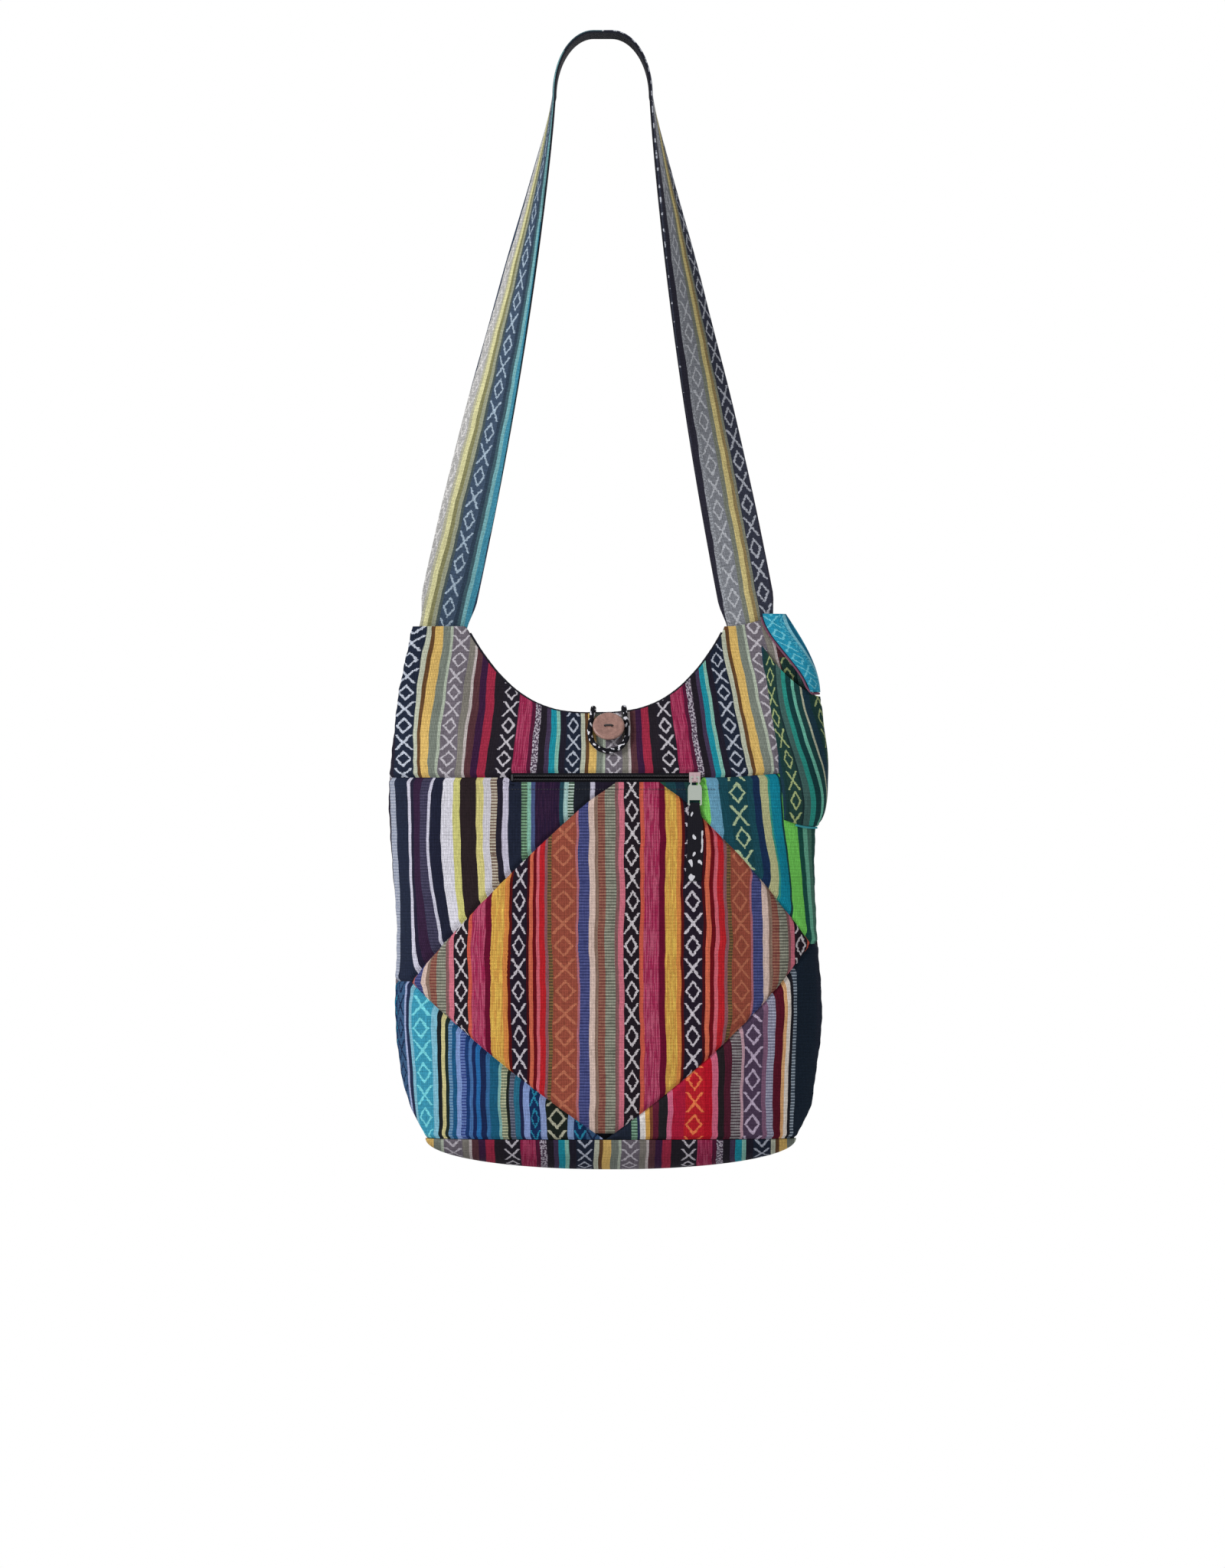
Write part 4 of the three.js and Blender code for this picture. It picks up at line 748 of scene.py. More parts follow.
def upper_panel(name, node, side, columns, low_rows, high_rows, pairs, lean_of):
    """The yoke, or the back: rows rise from the seam, or the band, to the mouth's edge."""
    share = np.sin((np.linspace(0, 1, columns) - 0.5) * np.pi)[None]
    seam_x = wall_point(share, yoke_seam_height, 0, side)[..., 0]
    seam = yoke_seam(seam_x, 1) if side < 0 else yoke_seam(seam_x, 1) - slot_edge(seam_x)
    head = top_height(share, binding_size / 2)
    height = seam + (head - seam) * crowded(high_rows)[:, None]
    if low_rows:
        low = lerp(front_bottom, seam, crowded(low_rows)[:-1, None])
        height = np.vstack([low + 0 * share, height])
    share = share + 0 * height
    x = centre_x(height) + half_width(height) * share
    across = cloth_x(share, height)
    distance = np.minimum.reduce([height - height[:1], 4 + (height[-1:] - height) * 0.8, across - across[:, :1],
                                  across[:, -1:] - across])
    fade = smoothstep(distance, 0, 16) * smoothstep(height[-1:] - height, 0, 22)
    dip = seam_dip(distance, x + height) - drape(side * -x, height) * fade
    outer = wall_point(share, height, dip, side)
    inner = wall_point(share, height, dip + shell_cloth, side)
    lean = lean_of(across) * (height - yoke_seam_height)
    weave = np.stack([in_plan(side * -(across - lean), pairs), height], -1)
    piece = shell(name, outer, inner, weave, main_cloth)
    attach(piece, "bag")
    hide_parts(node)


upper_panel("yoke_front", "front_yoke", -1, 200, 0, 70, [(-205, -180), (-170, -158), (-12.5, 0)], yoke_lean)
upper_panel("back_cloth", "back_panel", 1, 150, 90, 55, [(30, 0)], upright)

band_outline = 2.1
band_columns, band_rows = 150, 41


def band_layer(inset):
    """The band's cup: at each x a profile runs from the front seam round the bottom to the back seam. A ring at
    an angle shrinks in width by cos^(2/2.1) and in depth by cos, and lies at 1 - sin^(2/2.1) of the height."""
    across = np.sin(np.linspace(-1, 1, band_columns) * np.pi / 2 * 0.9985)[None]
    w = np.linspace(-1, 1, band_rows)[:, None]
    steepest = np.arccos(np.abs(across) ** (band_outline / 2))
    angle = steepest * (1 - np.abs(w) ** 1.3)
    share = np.clip(across / np.cos(angle) ** (2 / band_outline), -1, 1)
    middle, half = centre_x(band_height), half_width(band_height) - inset
    x = middle + half * across + 0 * w
    depth = (half_depth(band_height) - inset) * wall_share(share, band_height) * np.cos(angle)
    height = inset + (band_height - inset) * (1 - np.sin(angle) ** (2 / band_outline))
    return np.stack([x, np.sign(w) * depth, height + 0 * x], -1)


outer = band_layer(0.0)
groove_width, stripe_stretch, weave_start = 1.5, 1.045, 13.7
groove = np.exp(-(((band_height - outer[..., 2]) / groove_width) ** 2))
edge_dip = groove[..., None] * [0, 1, 0] * -np.sign(outer)
run = run_along(np.swapaxes(outer, 0, 1)).T
weave = np.stack([outer[..., 0] / stripe_stretch, weave_start - run], -1)
# Painted shade: the band's copy of the main cloth is darkened to about 0.72, for the shade at the bag's bottom.
band_cloth_with_painted_shade = striped_cloth("band_cloth_with_painted_shade", main_plan, motif_run=29.5, motif_start=20.8, tint_and_painted_shade=(0.72, 0.71, 0.73))
band = shell("bottom_cloth", outer + edge_dip, band_layer(shell_cloth) + edge_dip, weave, band_cloth_with_painted_shade)
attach(band, "bag")
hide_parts("bottom_band")


# Neckline bindings. The mouth's two edges are rolled over and sewn down as narrow dark rims, one on the yoke
# and one on the back, of plain black cotton.
def plain_cloth(name, colour, rib=1.2):
    """Plain woven cotton of one colour, a little cloudy, with fine ribs."""
    shader = Shader(name, Roughness=0.95, Specular_IOR_Level=0.06)
    across, along = shader.weave_mm()
    clouds = shader.noise(across, along, 1.4, 5.0)
    shader.feed(shader.surface.inputs["Base Color"], shader.shade(yarn(colour), 0.75, 1.2, clouds))
    shader.bump(shader.math("MULTIPLY", shader.ribs(across, rib), shader.ribs(along, rib)), 0.25, 0.7)
    return shader.material


binding_cloth = plain_cloth("binding_cloth", "1d1d24")
for word, side in (("front", -1), ("back", 1)):
    share = np.sin((np.linspace(0, 1, 420) - 0.5) * np.pi)
    share = share[top_height(share, 0) < tip_height - 4]
    line = wall_point(share, top_height(share, binding_size / 2), 0.8, side)
    run = run_along(line)
    radius = binding_size / 2 * (1 + 0.05 * np.sin(run / 0.9) + 0.04 * np.sin(run / 3.7))
    rim = tube("mouth_rim_" + word, line, radius, (0, 1, 0), sides=12)
    rim.data.materials.append(binding_cloth)
    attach(rim, "bag")
    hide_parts("neckline_binding_" + word)


# Lining. An inner bag of thin dark cotton, sewn in just under the mouth's rim. It hangs slack inside the
# shell, in two halves that are joined down the sides and along the bottom.
lining_inset, lining_cloth_mm = 7.0, 0.8
lining_top = neck_height + 16
lining_below_neck = 11.0
lining_columns, lining_rows = 97, 50


def lining_layer(inset):
    """Rings from the mouth down and under the bag to a small ring at the bottom, closed by a cap face."""
    turn = np.linspace(0, 2 * np.pi, lining_columns)
    side = np.where(np.sin(turn) >= 0, -1, 1)[None]
    share = -np.cos(turn)[None]
    head = np.minimum(top_height(share, lining_below_neck), lining_top)
    up = np.linspace(1, 0, lining_rows)[:, None]
    height = lerp(band_height, head, up)
    slack = 1.1 * np.sin(height / 19 + share * 7) * smoothstep(head - height, 0, 40)
    depth = half_depth(height) - inset - slack
    wall = np.stack([centre_x(height) + (half_width(height) - inset) * share,
                     side * depth * wall_share(share, height), height], -1)
    angle = np.linspace(0, 1, 16)[1:-1, None] * np.pi / 2
    width = np.cos(angle) ** (2 / band_outline)
    low = np.stack([centre_x(band_height) + (half_width(band_height) - inset) * share * width,
                    side * (half_depth(band_height) - inset) * wall_share(share, band_height) * np.cos(angle),
                    inset + (band_height - inset) * (1 - np.sin(angle) ** (2 / band_outline)) + 0 * share], -1)
    middle = np.array([centre_x(band_height), 0, 0])
    pole = middle + 0.01 * (low[-1:] - middle)
    pole[..., 2] = inset
    return np.concatenate([wall, low, pole])


def joined(piece, distance_mm):
    """Merges the points where a grid meets itself."""
    work = bmesh.new()
    work.from_mesh(piece.data)
    bmesh.ops.remove_doubles(work, verts=work.verts, dist=distance_mm / 1000)
    work.to_mesh(piece.data)
    work.free()


def open_shell(name, outer, inner, cloth):
    """A cup with two faces and a rim at its mouth, whose last column lies on its first."""
    rows, columns = outer.shape[:2]
    index = np.arange(rows * columns).reshape(rows, columns)
    front = np.stack([index[:-1, :-1], index[:-1, 1:], index[1:, 1:], index[1:, :-1]], -1).reshape(-1, 4)
    rim = np.stack([index[0, 1:], index[0, :-1], index[0, :-1] + rows * columns,
                    index[0, 1:] + rows * columns], -1)
    points = np.vstack([outer.reshape(-1, 3), inner.reshape(-1, 3)])
    weave = np.stack(np.broadcast_arrays(run_along(outer[0])[None], outer[..., 2]), -1).reshape(-1, 2)
    piece = mesh_piece(name, points, np.vstack([front, front[:, ::-1] + rows * columns, rim]),
                       np.vstack([weave, weave]))
    piece.data.materials.append(cloth)
    return piece


dark_lining_cloth = plain_cloth("dark_lining_cloth", "24262f", 0.8)
lining = open_shell("inner_bag", lining_layer(lining_inset), lining_layer(lining_inset + lining_cloth_mm),
                    dark_lining_cloth)
joined(lining, 0.3)
face_out(lining)
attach(lining, "bag")
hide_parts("lining")


# Strap. Two lengths of striped cloth over one dark lining, sewn into the tips of the yoke. It stands flat to
# the front at the tips and makes a quarter turn on its way to the crown, where it lies across a hook.
strap_width, strap_end_width = 50.0, 42.0
strap_cloth, strap_lining_cloth, layer_gap = 1.5, 1.2, 0.4
strap_tuck, strap_columns = 18.0, 29
crown_half_span, crown_arch_height, crown_flat = 43.0, 54.0, 16.0
leave_share, arrive_out, arrive_drop = 0.36, 8.0, 60.0
strap_foot_left_x, strap_foot_right_x = -146.0, 136.0
strap_thickness = strap_cloth + layer_gap + strap_lining_cloth
crown_height = hang_height + strap_thickness / 2
arch_foot = crown_height - crown_arch_height


def strap_line(foot_x):
    """Half the strap's middle line: a cubic Bezier curve from inside the tip to the arch, a quarter ellipse and
    a short flat at the crown."""
    side = np.sign(foot_x)
    foot = tip_height - strap_tuck
    knots = np.array([
        [foot_x, 0, foot],
        [lerp(foot_x, side * crown_half_span, leave_share), 0, lerp(foot, arch_foot, leave_share)],
        [side * (crown_half_span + arrive_out), 0, arch_foot - arrive_drop],
        [side * crown_half_span, 0, arch_foot],
    ])
    t = np.linspace(0, 1, 90)[:, None]
    straight = ((1 - t) ** 3 * knots[0] + 3 * (1 - t) ** 2 * t * knots[1] + 3 * (1 - t) * t**2 * knots[2]
                + t**3 * knots[3])
    angle = np.linspace(0, np.pi / 2, 30)[1:]
    arch = np.stack([side * lerp(crown_flat / 2, crown_half_span, np.cos(angle)), 0 * angle,
                     arch_foot + crown_arch_height * np.sin(angle)], -1)
    flat_x = side * np.linspace(crown_flat / 2, seam_gap / 2, 5)[1:]
    flat = np.stack([flat_x, 0 * flat_x, 0 * flat_x + crown_height], -1)
    return np.vstack([straight, arch, flat])


def ribbon_frames(line, side):
    """For each point of the line the ribbon's face and across directions: turned about the line by
    a quarter turn times the height's share to the power 1.15."""
    along = tangents(line)
    along[-5:] = [-side, 0, 0]
    outward = np.stack([side * np.abs(along[:, 2]), 0 * along[:, 0], -along[:, 0] * side], -1)
    outward[-5:] = [0, 0, 1]
    outward /= np.linalg.norm(outward, axis=1, keepdims=True)
    turn = (np.pi / 2 * np.clip((line[:, 2] - tip_height) / (arch_foot - tip_height), 0, 1) ** 1.15)[:, None]
    front = np.array([0, -1.0, 0])
    return front * np.cos(turn) + outward * np.sin(turn), outward * np.cos(turn) - front * np.sin(turn)


def ribbon_layer(line, face, across, depth, hem=0.0):
    """A ribbon's surface at a depth under its outer face. hem scales the relief: the turned edges and their
    stitches sink as bells across the ribbon, and two low sines lift the rest."""
    half = lerp(strap_end_width, strap_width, smoothstep(line[:, 2], tip_height, tip_height + 26)) / 2
    place = np.sin(np.linspace(-1, 1, strap_columns) * np.pi / 2)[None]
    off = place * half[:, None]
    edge = half[:, None] - np.abs(off)
    run = run_along(line)[:, None]
    stitched = np.exp(-(((edge - 3.2) / 0.9) ** 2)) * (0.7 + 0.3 * np.sin(run / 0.65))
    rise = hem * (-0.35 * np.exp(-((edge / 2.2) ** 2)) - 0.45 * stitched
                  + 0.25 * np.sin(off / 7 + run / 37) + 0.2 * np.sin(run / 19 + off / 11))
    return (line[:, None] + across[:, None] * off[..., None]
            + face[:, None] * (strap_thickness / 2 - depth + rise)[..., None]), off, run


strap_left_cloth = striped_cloth("strap_left_cloth", [
    ("b9b8b7", 8, "cross", "e0dedd"), ("bab8a0", 2.5), ("dedaa6", 4), ("8a8860", 3.5), ("a0a38c", 3.5),
    ("4e5a5c", 2.5), ("43546a", 13, "cross", "a9bccd"), ("344456", 3.5), ("45606a", 3), ("7ab0b6", 3.5),
    ("4590aa", 5), ("2c3c54", 4),
], motif_run=40, motif_start=5)
strap_right_cloth = striped_cloth("strap_right_cloth", [
    ("33323f", 6.5), ("90939a", 3.5, "specks", "b4b8c0"), ("8d9098", 13, "cross", "c8cbd2"), ("85897c", 4),
    ("dccb8c", 4.5), ("9c885e", 3), ("8a8c7c", 2.5), ("3a3d4c", 13, "cross", "b9bdc8"),
], motif_run=40, motif_start=15)
black_cloth = plain_cloth("black_cloth", "1e1f26")

strap_halves = {}
for word, foot_x, cloth, drift in (("left", strap_foot_left_x, strap_left_cloth, 0.02),
                                   ("right", strap_foot_right_x, strap_right_cloth, 0.012)):
    line = strap_line(foot_x)
    face, across = ribbon_frames(line, np.sign(foot_x))
    strap_halves[word] = (line, face, across)
    outer, off, run = ribbon_layer(line, face, across, 0, hem=1.0)
    inner = ribbon_layer(line, face, across, strap_cloth - 0.2)[0]
    seen = off * np.sign(foot_x)
    weave = np.stack([seen + 25 - drift * (run - 230), run + 0 * off], -1)
    half = shell("strap_cloth_" + word, outer, inner, weave, cloth)
    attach(half, "bag")
    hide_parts("strap_" + word)

left_line, left_face, left_across = strap_halves["left"]
right_line, right_face, right_across = strap_halves["right"]
line = np.vstack([left_line[:-1], right_line[-2::-1]])
face = np.vstack([left_face[:-1], right_face[-2::-1]])
across = np.vstack([left_across[:-1], right_across[-2::-1]])
lining_top_face, off, run = ribbon_layer(line, face, across, strap_cloth + 0.1)
lining_under_face = ribbon_layer(line, face, across, strap_thickness)[0]
strap_back = shell("strap_underside", lining_top_face, lining_under_face,
                   np.stack([off, run + 0 * off], -1), black_cloth)
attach(strap_back, "bag")
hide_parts("strap_lining")


# Zip. Black tapes and a nylon coil close the pocket under the yoke seam. The slider and its tag are plated
# metal, and a folded strip of flecked cloth hangs from the tag.
zip_tilt = np.arctan((half_depth(yoke_seam_height - 6) - half_depth(yoke_seam_height + 6)) / 12)


def on_zip(points):
    """Points along the zip, into the bag and up the wall become points of the bag."""
    x, y, z = np.moveaxis(np.asarray(points, float), -1, 0)
    return np.stack([x, -half_depth(yoke_seam_height) + y * np.cos(zip_tilt) + z * np.sin(zip_tilt),
                     yoke_seam_height - y * np.sin(zip_tilt) + z * np.cos(zip_tilt)], -1)


def glossy(name, colour, roughness, metallic=0.0):
    """A plain smooth finish."""
    shader = Shader(name, Roughness=roughness, Metallic=metallic)
    shader.surface.inputs["Base Color"].default_value = yarn(colour)
    return shader.material


coil_nylon = glossy("coil_nylon", "1b1b20", 0.4)
coil_pitch, coil_thread_radius = 1.5, 0.3
coil_depth, coil_in_and_out = 1.05, 0.5
coil_off_middle, coil_up_and_down = 1.65, 0.72
for word, way in (("upper", 1), ("lower", -1)):
    x = np.arange(zip_left_x + 4, zip_right_x - 1, coil_pitch / 8)
    turn = (x - x[0]) / coil_pitch * 2 * np.pi + (np.pi if way < 0 else 0)
    helix = on_zip(np.stack([x, coil_depth + coil_in_and_out * np.sin(turn),
                             way * (coil_off_middle + coil_up_and_down * np.cos(turn))], -1))
    coil = tube("nylon_coil_" + word, helix, coil_thread_radius, (0.3, 1, 0.2), sides=6)
    coil.data.materials.append(coil_nylon)
    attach(coil, "bag")
    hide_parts("zip_coil_" + word)

tape_shader = Shader("tape_cloth", Roughness=0.95, Specular_IOR_Level=0.06)
tape_shader.surface.inputs["Base Color"].default_value = yarn("17171b")
zip_looks = {
    "zip_tape_upper": tape_shader.material, "zip_tape_lower": tape_shader.material,
    "zip_pocket_backing": tape_shader.material, "zip_stop_left": coil_nylon,
    "zip_slider": glossy("slider_metal", "b79fa3", 0.3, 1.0),
    "zip_puller": glossy("puller_metal", "a9b0a8", 0.26, 1.0),
}
for node, look in zip_looks.items():
    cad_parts[node].material_slots[0].material = look

slider_x = zip_right_x - 1 - 5
puller_axis_depth = -2.75
puller_lean = 0.75 * zip_tilt
axis_to_bar = 24.55
puller_axis = on_zip([slider_x, puller_axis_depth, 0])
low_bar = puller_axis - axis_to_bar * np.array([0, np.sin(puller_lean), np.cos(puller_lean)])
strip_width, strip_ply, strip_tail = 14.0, 0.7, 66.0
bar_reach, over_bar = 1.35, 1.4


def pull_strip_line():
    """The strip's middle line: up behind, round the tag's low bar and down in front, over the diamond."""
    drop = np.linspace(0, strip_tail, 40)
    height = low_bar[2] - 1.6 - drop
    on_wall = -(half_depth(height) + layer_gap + 1.6)
    y = np.minimum(lerp(low_bar[1], on_wall, smoothstep(drop / strip_tail, 0, 0.4)), on_wall)
    gap = lerp(bar_reach, 0.42, smoothstep(drop, 0, 9))
    back = np.stack([0 * y + slider_x, y + gap, height], -1)[::-1]
    turn = np.linspace(0, np.pi, 9)[1:-1]
    over = np.stack([0 * turn + slider_x, low_bar[1] + bar_reach * np.cos(turn),
                     low_bar[2] - 1.3 + (bar_reach + over_bar) * np.sin(turn)], -1)
    front = np.stack([0 * y + slider_x, y - gap, height], -1)
    return np.vstack([back, over, front])


strip_line = pull_strip_line()
along = tangents(strip_line)
outward = np.cross([1.0, 0, 0], along)
outward /= np.linalg.norm(outward, axis=1, keepdims=True)
drop = np.clip((low_bar[2] - strip_line[:, 2]) / strip_tail, 0, 1)
half = lerp(4.3, strip_width / 2, smoothstep(drop, 0, 0.3))[:, None]
place = np.linspace(-1, 1, 9)[None]
sway = (1.1 * np.sin(drop * 5.2) * drop)[:, None]
middle = strip_line[:, None] + np.array([1.0, 0, 0]) * (place * half + sway)[..., None]
run = run_along(strip_line)[:, None]
half_ply = outward[:, None] * strip_ply / 2
strip = shell("pull_strip", middle + half_ply, middle - half_ply, np.stack([place * half, run + 0 * place], -1),
              flecked_cloth("strip_cloth", "1b1a20", "c6c6cc", 0.33, 7.0, 4.2))
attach(strip, "puller")
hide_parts("zip_pull_strip")


# Topstitching. Black thread holds the cloth down below the zip and at its right end. Each stitch is a short
# round bar that lies on the cloth, a little longer than the gap to the next.
stitch_pitch, stitch_share, thread_size = 2.6, 0.62, 0.55
stitch_rings, stitch_sides = 5, 6
thread_finish = glossy("sewing_thread", "2a2b30", 0.7)


def stitches(name, route):
    """Bars along a route of points, each tapered at both ends."""
    run = run_along(route)
    starts = np.arange(0.4, run[-1] - stitch_pitch, stitch_pitch)
    t = np.linspace(0, 1, stitch_rings)
    places = starts[:, None] + t * stitch_pitch * stitch_share
    line = np.stack([np.interp(places, run, route[:, i]) for i in range(3)], -1)
    along = line[:, -1:] - line[:, :1]
    along /= np.linalg.norm(along, axis=2, keepdims=True)
    out = np.array([0, -1.0, 0])
    side = np.cross(along, out)
    turn = np.linspace(0, 2 * np.pi, stitch_sides, endpoint=False)
    radius = (thread_size / 2 * np.sin(np.pi * (0.12 + 0.76 * t)) ** 0.5)[None, :, None, None]
    ring = (np.cos(turn)[:, None] * side[:, :, None] + np.sin(turn)[:, None] * out) * radius
    points = (line[:, :, None] + ring).reshape(-1, 3)
    first = np.arange(len(starts))[:, None] * stitch_rings * stitch_sides
    k, i = np.arange(stitch_rings - 1)[None, :, None] * stitch_sides, np.arange(stitch_sides)
    corner, n = first[..., None] + k, (i + 1) % stitch_sides
    walls = np.stack([corner + i, corner + n, corner + stitch_sides + n, corner + stitch_sides + i], -1)
    caps = np.concatenate([first + i[::-1], first + (stitch_rings - 1) * stitch_sides + i])
    piece = mesh_piece(name, points, walls.reshape(-1, 4).tolist() + caps.tolist(), smooth_to=None)
    piece.data.materials.append(thread_finish)
    face_out(piece)
    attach(piece, "bag")


def on_front(x, height, out=0.5):
    """Points on the front's wall, a little outside it, with the same folds."""
    x, height = np.broadcast_arrays(np.asarray(x, float), np.asarray(height, float))
    return wall_point(share_at(x, height), height, -out - drape(x, height), -1)


below = yoke_seam_height - zip_slot_half - 6.5
frame_x = np.linspace(zip_left_x - 6, zip_right_x + 15, 160)
stitches("zip_stitches_low", on_front(frame_x, below))
stitches("zip_stitches_right", on_front(zip_right_x + 15, np.linspace(below, yoke_seam_height - 3, 12)))


# Coconut button. A disc turned from coconut shell, dished on its face, with two holes for the black thread.
button_diameter, button_thickness = 28.5, 3.6
hole_diameter, hole_spacing = 2.6, 6.0
stand_off = loop_diameter + 1
button_tilt = np.arctan((half_depth(button_height + 4) - half_depth(button_height - 4)) / 8)


def on_button(points):
    """Points across, out from the bag and up on the button's seat become points of the bag."""
    x, out, z = np.moveaxis(np.asarray(points, float), -1, 0)
    y = -half_depth(button_height) - out * np.cos(button_tilt) - z * np.sin(button_tilt)
    return np.stack([button_x + x, y,
                     button_height - out * np.sin(button_tilt) + z * np.cos(button_tilt)], -1)


round_steps = 97
radius = button_diameter / 2
bend = np.linspace(-np.pi / 2, np.pi / 2, 9)
rim = np.stack([radius + button_thickness / 2 * (np.cos(bend) - 1),
                stand_off + button_thickness / 2 * (np.sin(bend) + 1)], -1)
dish = np.array([[radius * 0.74, stand_off + button_thickness - 0.05], [radius * 0.66, stand_off + 3.15],
                 [radius * 0.5, stand_off + 2.9], [radius * 0.25, stand_off + 2.8], [0.02, stand_off + 2.8]])
profile = np.vstack([[[0.02, stand_off]], [[radius * 0.5, stand_off]], rim, dish])
turn = np.linspace(0, 2 * np.pi, round_steps)
disc = np.stack([profile[:, :1] * np.cos(turn), profile[:, 1:] + 0 * turn, profile[:, :1] * np.sin(turn)], -1)
index = np.arange(len(disc) * round_steps).reshape(-1, round_steps)
faces = np.stack([index[:-1, :-1], index[:-1, 1:], index[1:, 1:], index[1:, :-1]], -1).reshape(-1, 4)
button = mesh_piece("coconut_disc", on_button(disc).reshape(-1, 3), faces, smooth_to=40)
joined(button, 0.05)
face_out(button)
for hole_x in (-hole_spacing / 2, hole_spacing / 2):
    ends = on_button([[hole_x, stand_off - 4, 0], [hole_x, stand_off + 8, 0]])
    drill = tube("drill", np.linspace(ends[0], ends[1], 4), hole_diameter / 2, (1, 0, 0), sides=24)
    cut = button.modifiers.new("hole", "BOOLEAN")
    cut.object = drill
    cut.solver = "EXACT"
    bpy.context.view_layer.objects.active = button
    bpy.ops.object.modifier_apply(modifier=cut.name)
    bpy.data.objects.remove(drill)
button.data.polygons.foreach_set("use_smooth", np.ones(len(button.data.polygons), bool))
button.data.set_sharp_from_angle(angle=np.radians(40))

shell_finish = Shader("coconut_shell_finish", Roughness=0.42, Specular_IOR_Level=0.5)
coordinates = shell_finish.node("ShaderNodeTexCoord").outputs["Object"]
grain = shell_finish.node("ShaderNodeTexNoise")
grain.inputs["Scale"].default_value = 330
grain.inputs["Detail"].default_value = 6
shell_finish.tree.links.new(coordinates, grain.inputs["Vector"])
spots = shell_finish.node("ShaderNodeTexVoronoi")
spots.inputs["Scale"].default_value = 900
shell_finish.tree.links.new(coordinates, spots.inputs["Vector"])
shell_colour = shell_finish.mix(grain.outputs["Fac"], yarn("5a3b34"), yarn("a67f74"))
shell_colour = shell_finish.shade(shell_colour, 0.72, 1.12, spots.outputs["Distance"])
shell_finish.feed(shell_finish.surface.inputs["Base Color"], shell_colour)
shell_finish.bump(grain.outputs["Fac"], 0.15, 0.4)
button.data.materials.append(shell_finish.material)
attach(button, "bag")
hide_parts("coconut_button")
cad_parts["button_thread"].material_slots[0].material = glossy("waxed_thread", "16161a", 0.7)


# Phone pocket. A small pouch wraps the right side seam. Its front is cut from green striped cloth and stands
# off the body, open at the top under its flap, with turquoise piping round the foot.
pocket_bottom, pocket_mouth, pocket_shoulder = 307.0, 423.0, 468.0
pocket_depth, pocket_cloth_mm, pocket_seat = 9.0, 1.4, 0.6
pouch_columns, pouch_rows = 70, 80
pouch_girth, pouch_rise, mouth_rise = 70.0, 110.0, 60.0


def side_point(turn, height, out):
    """A point round the right side: turn is 90 at the flat front, 0 at the side seam and -90 at the back."""
    turn, height, out = np.broadcast_arrays(np.radians(turn), height, out)
    flat = flat_share(height)
    share = flat + (1 - flat) * np.maximum(np.cos(turn), 0) ** (2 / side_roundness)
    x = centre_x(height) + (half_width(height) + out) * share
    y = np.where(turn > 0, -1, 1) * (half_depth(height) + out) * wall_share(share, height)
    return np.stack([x, y, height], -1)


def turn_at(x, height):
    """The turn of side_point at which the wall reaches x: the superellipse solved for its angle."""
    flat = flat_share(height)
    past = np.clip((share_at(x, height) - flat) / (1 - flat), 0, 1)
    return np.degrees(np.arccos(past ** (side_roundness / 2)))


def pocket_edge_x(height):
    """Where the pouch's edge is sewn down: a smooth step inwards from its foot to its shoulder."""
    return lerp(161, 141, smoothstep(height, pocket_bottom, pocket_shoulder))


def pocket_turn(u, height):
    """Turns from the front edge at u = 0 to the back edge, 3 mm further out, at u = 1."""
    return lerp(turn_at(pocket_edge_x(height), height), -turn_at(pocket_edge_x(height) + 3, height), u)


def pocket_top(u):
    """Height of the mouth: low in the middle, with a cubic rise to each edge."""
    return pocket_mouth + (pocket_shoulder - pocket_mouth) * np.abs(2 * np.minimum(u, 0.96) - 1) ** 3


def pocket_foot(u):
    """Height of the foot: a quartic, 6 mm higher at both edges."""
    return pocket_bottom + 6 * (2 * u - 1) ** 4


def pocket_stand_off(u, v):
    """How far the pouch stands off: a flattened sine across, and a quarter sine up from the foot."""
    across = np.sin(np.pi * np.clip(u, 0.0001, 0.9999)) ** 0.6
    return pocket_depth * across * np.sin(np.pi / 2 * np.minimum(1, v * 3.2)) ** 0.7


def pocket_layer(depth, relief=0.0):
    """The pouch's front: rows from its foot to its mouth, columns from the front edge round to the back."""
    u = np.linspace(0, 1, pouch_columns)[None]
    v = np.linspace(0, 1, pouch_rows)[:, None]
    height = lerp(pocket_foot(u), pocket_top(u), v)
    turn = pocket_turn(u, height)
    sides = np.minimum(u, 1 - u) * pouch_girth + 0 * v
    from_edge = np.minimum.reduce([sides, v * pouch_rise + 0 * u, (1 - v) * mouth_rise + 0 * u])
    hem = -0.5 * np.exp(-((from_edge - 3) ** 2))
    hem = hem + 0.4 * np.sin(height / 9 + u * 9) * smoothstep(from_edge, 0, 12)
    return side_point(turn, height, pocket_seat + pocket_stand_off(u, v) + depth + relief * hem), height


pouch_cloth = striped_cloth("pouch_cloth", [
    ("1d3c38", 3.5), ("24423a", 14, "cross", "a9b878"), ("1e3434", 2), ("45665c", 7), ("2f9480", 6),
    ("17403e", 7), ("6fbc9c", 4), ("1f4440", 7), ("b9bd9c", 2.5), ("1f3a44", 8),
], motif_run=37.0, motif_start=6.0, tint_and_painted_shade=(1.1, 1.1, 1.25))
outer, height = pocket_layer(pocket_cloth_mm, 1.5)
inner = pocket_layer(0.0)[0]
across = run_along(outer)
bent = across + 2.6 * np.sin(height / 21 + 0.8)
pouch = shell("pouch_front", outer, inner, np.stack([bent, height], -1), pouch_cloth)
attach(pouch, "bag")
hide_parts("phone_pocket_front")


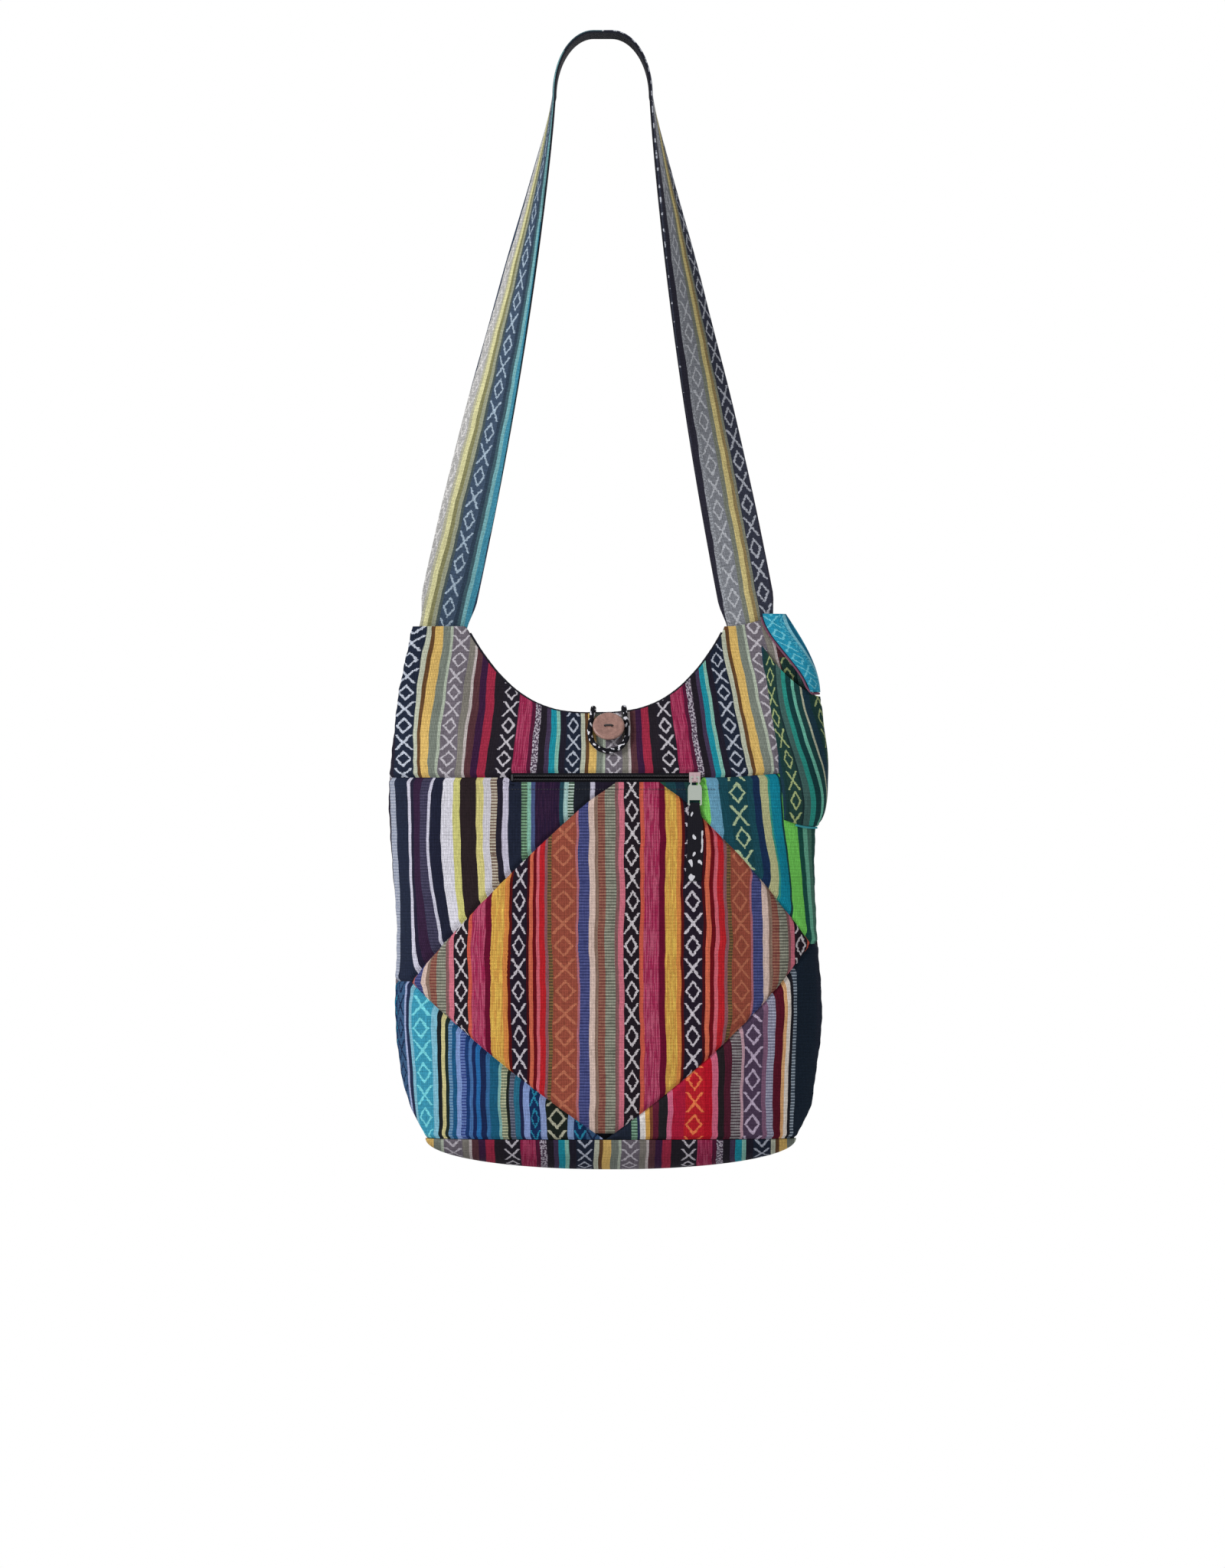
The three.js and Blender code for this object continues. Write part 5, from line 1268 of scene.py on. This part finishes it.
def pocket_back_layer(depth):
    """The pouch's back: the same turns and heights, a little inside the front's edges."""
    u = lerp(0.09, 0.91, np.linspace(0, 1, 40))[None]
    height = lerp(pocket_foot(u) + 7, pocket_shoulder - 10, np.linspace(0, 1, 50)[:, None])
    return side_point(pocket_turn(u, height), height, pocket_seat + depth)


outer = pocket_back_layer(0.8)
across = run_along(outer)
pouch_back = shell("pouch_back", outer, pocket_back_layer(0.0), np.stack([across, outer[..., 2]], -1),
                   pouch_cloth)
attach(pouch_back, "bag")
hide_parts("phone_pocket_back")

piping_size = 2.0
piping_cloth = plain_cloth("turquoise_piping_cloth", "3d929c")
u = np.linspace(0.1, 0.9, 90)
height = pocket_foot(u) - piping_size / 2 - 0.3
foot_piping = tube("pouch_piping", side_point(pocket_turn(u, height), height, piping_size / 2 + layer_gap),
                   piping_size / 2, (0, 0, 1), sides=10)
foot_piping.data.materials.append(piping_cloth)
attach(foot_piping, "bag")
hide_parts("pocket_piping")


# Flap. A turquoise tongue with a navy lining hangs from the right tip over the pouch's mouth, bowed round the
# side and edged with plum piping.
flap_top, flap_bottom, flap_cloth_mm = 497.0, 427.0, 1.3
flap_bow = np.radians(75)
flap_top_x, flap_spread, flap_fall = 164.0, 31.0, 74.0
flap_edge_top_x, flap_edge_low_x = 143, 186


def flap_point(u, height, depth):
    """The flap in section is a bow of 75 degrees to each side, small at the top and wide at the bottom."""
    outer_x = flap_top_x + flap_spread * np.sin(np.pi / 2 * np.clip((flap_top - height) / flap_fall, 0, 1))
    edge_x = lerp(flap_edge_low_x, flap_edge_top_x, smoothstep(height, flap_bottom - 6, flap_top + 3))
    half = half_depth(height) + layer_gap + 3 + 7 * smoothstep(flap_top - 12 - height, 0, 55)
    angle = lerp(-flap_bow, flap_bow, u)
    x = outer_x - (outer_x - edge_x) * (1 - np.cos(angle)) / (1 - np.cos(flap_bow)) - depth * np.cos(angle)
    y = (half / np.sin(flap_bow) - depth) * np.sin(angle)
    return np.stack(np.broadcast_arrays(x, y, height), -1)


def flap_layer(depth):
    """The flap's grid: rows from its lower edge to its top, columns round its bow."""
    u = np.linspace(0, 1, 50)[None]
    height = lerp(flap_bottom, flap_top, np.linspace(0, 1, 50)[:, None]) + 0 * u
    return flap_point(u, height, depth)


flap_cloth = striped_cloth("flap_cloth", [
    ("2f9db8", 14, "cross", "7cd0dc"), ("2a8fae", 4, "specks", "5cbccc"), ("8cc6d0", 3), ("1e6f8c", 4),
], motif_run=22.0, tint_and_painted_shade=(0.95, 1.1, 1.2))
outer = flap_layer(0.0)
across = run_along(outer)
flap_weave = np.stack([across, outer[..., 2]], -1)
flap = shell("flap_outside", outer, flap_layer(flap_cloth_mm), flap_weave, flap_cloth)
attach(flap, "bag")
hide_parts("phone_pocket_flap")
flap_inside = shell("flap_inside", flap_layer(flap_cloth_mm + 0.05), flap_layer(flap_cloth_mm + 1.1),
                    flap_weave, plain_cloth("navy_cloth", "232a48"))
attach(flap_inside, "bag")
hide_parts("flap_lining")

piping_out = piping_size / 2 + 0.3
down = lerp(flap_top - 3, flap_bottom - piping_out, np.linspace(0, 1, 40))
near_side = flap_point(0.0, down, flap_cloth_mm) - [1.25 * piping_out, 0, 0]
under = flap_point(np.linspace(0.06, 0.94, 40), flap_bottom, flap_cloth_mm) - [0, 0, piping_out]
far_side = flap_point(1.0, down[::-1], flap_cloth_mm) - [1.25 * piping_out, 0, 0]
rim_line = smooth_line(np.vstack([near_side, under, far_side])[::4], 150)
flap_rim = tube("flap_rim", rim_line, piping_size / 2, (1, 0, 0.35), sides=10)
flap_rim.data.materials.append(plain_cloth("plum_piping_cloth", "6e4458"))
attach(flap_rim, "bag")
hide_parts("flap_piping")


# Stage. The bag hangs above a plain pale floor that lies below the picture, and the background is white. A
# large softbox on the left is the key light, and two weaker ones fill the right side and the back.
floor_drop, lamp_aim = 1.9, Vector((0, 0, -0.7))
bpy.ops.mesh.primitive_plane_add(size=8, location=(0, 0, -floor_drop))
floor = bpy.context.object
floor.name = "floor"
floor_paint = Shader("floor_paint", Roughness=0.9)
floor_paint.surface.inputs["Base Color"].default_value = (0.85, 0.85, 0.85, 1)
floor.data.materials.append(floor_paint.material)

world = bpy.data.worlds.new("studio")
bpy.context.scene.world = world
world.use_nodes = True
sky = world.node_tree
sky.nodes.clear()
rays = sky.nodes.new("ShaderNodeLightPath")
pick = sky.nodes.new("ShaderNodeMixShader")
for socket, strength in ((pick.inputs[1], 0.46), (pick.inputs[2], 1.0)):
    light = sky.nodes.new("ShaderNodeBackground")
    light.inputs["Color"].default_value = (1, 1, 1, 1)
    light.inputs["Strength"].default_value = strength
    sky.links.new(light.outputs[0], socket)
seen = rays.outputs["Is Camera Ray"]
for kind in ("Is Glossy Ray", "Is Transmission Ray"):
    either = sky.nodes.new("ShaderNodeMath")
    either.operation = "MAXIMUM"
    sky.links.new(seen, either.inputs[0])
    sky.links.new(rays.outputs[kind], either.inputs[1])
    seen = either.outputs[0]
sky.links.new(seen, pick.inputs[0])
sky.links.new(pick.outputs[0], sky.nodes.new("ShaderNodeOutputWorld").inputs[0])


def softbox(name, place, size, power):
    """A square lamp that looks at the middle of the bag."""
    data = bpy.data.lights.new(name, "AREA")
    data.shape = "SQUARE"
    data.size = size
    data.energy = power
    lamp = bpy.data.objects.new(name, data)
    bpy.context.scene.collection.objects.link(lamp)
    lamp.location = place
    lamp.rotation_euler = (lamp_aim - Vector(place)).to_track_quat("-Z", "Y").to_euler()


softbox("key_lamp", (-2.6, -1.9, 0.8), 0.9, 112)
softbox("fill_lamp", (2.2, -2.4, -0.2), 1.8, 20)
softbox("back_lamp", (0.6, 2.6, 0.4), 1.8, 40)

bpy.context.scene.view_settings.view_transform = "Standard"
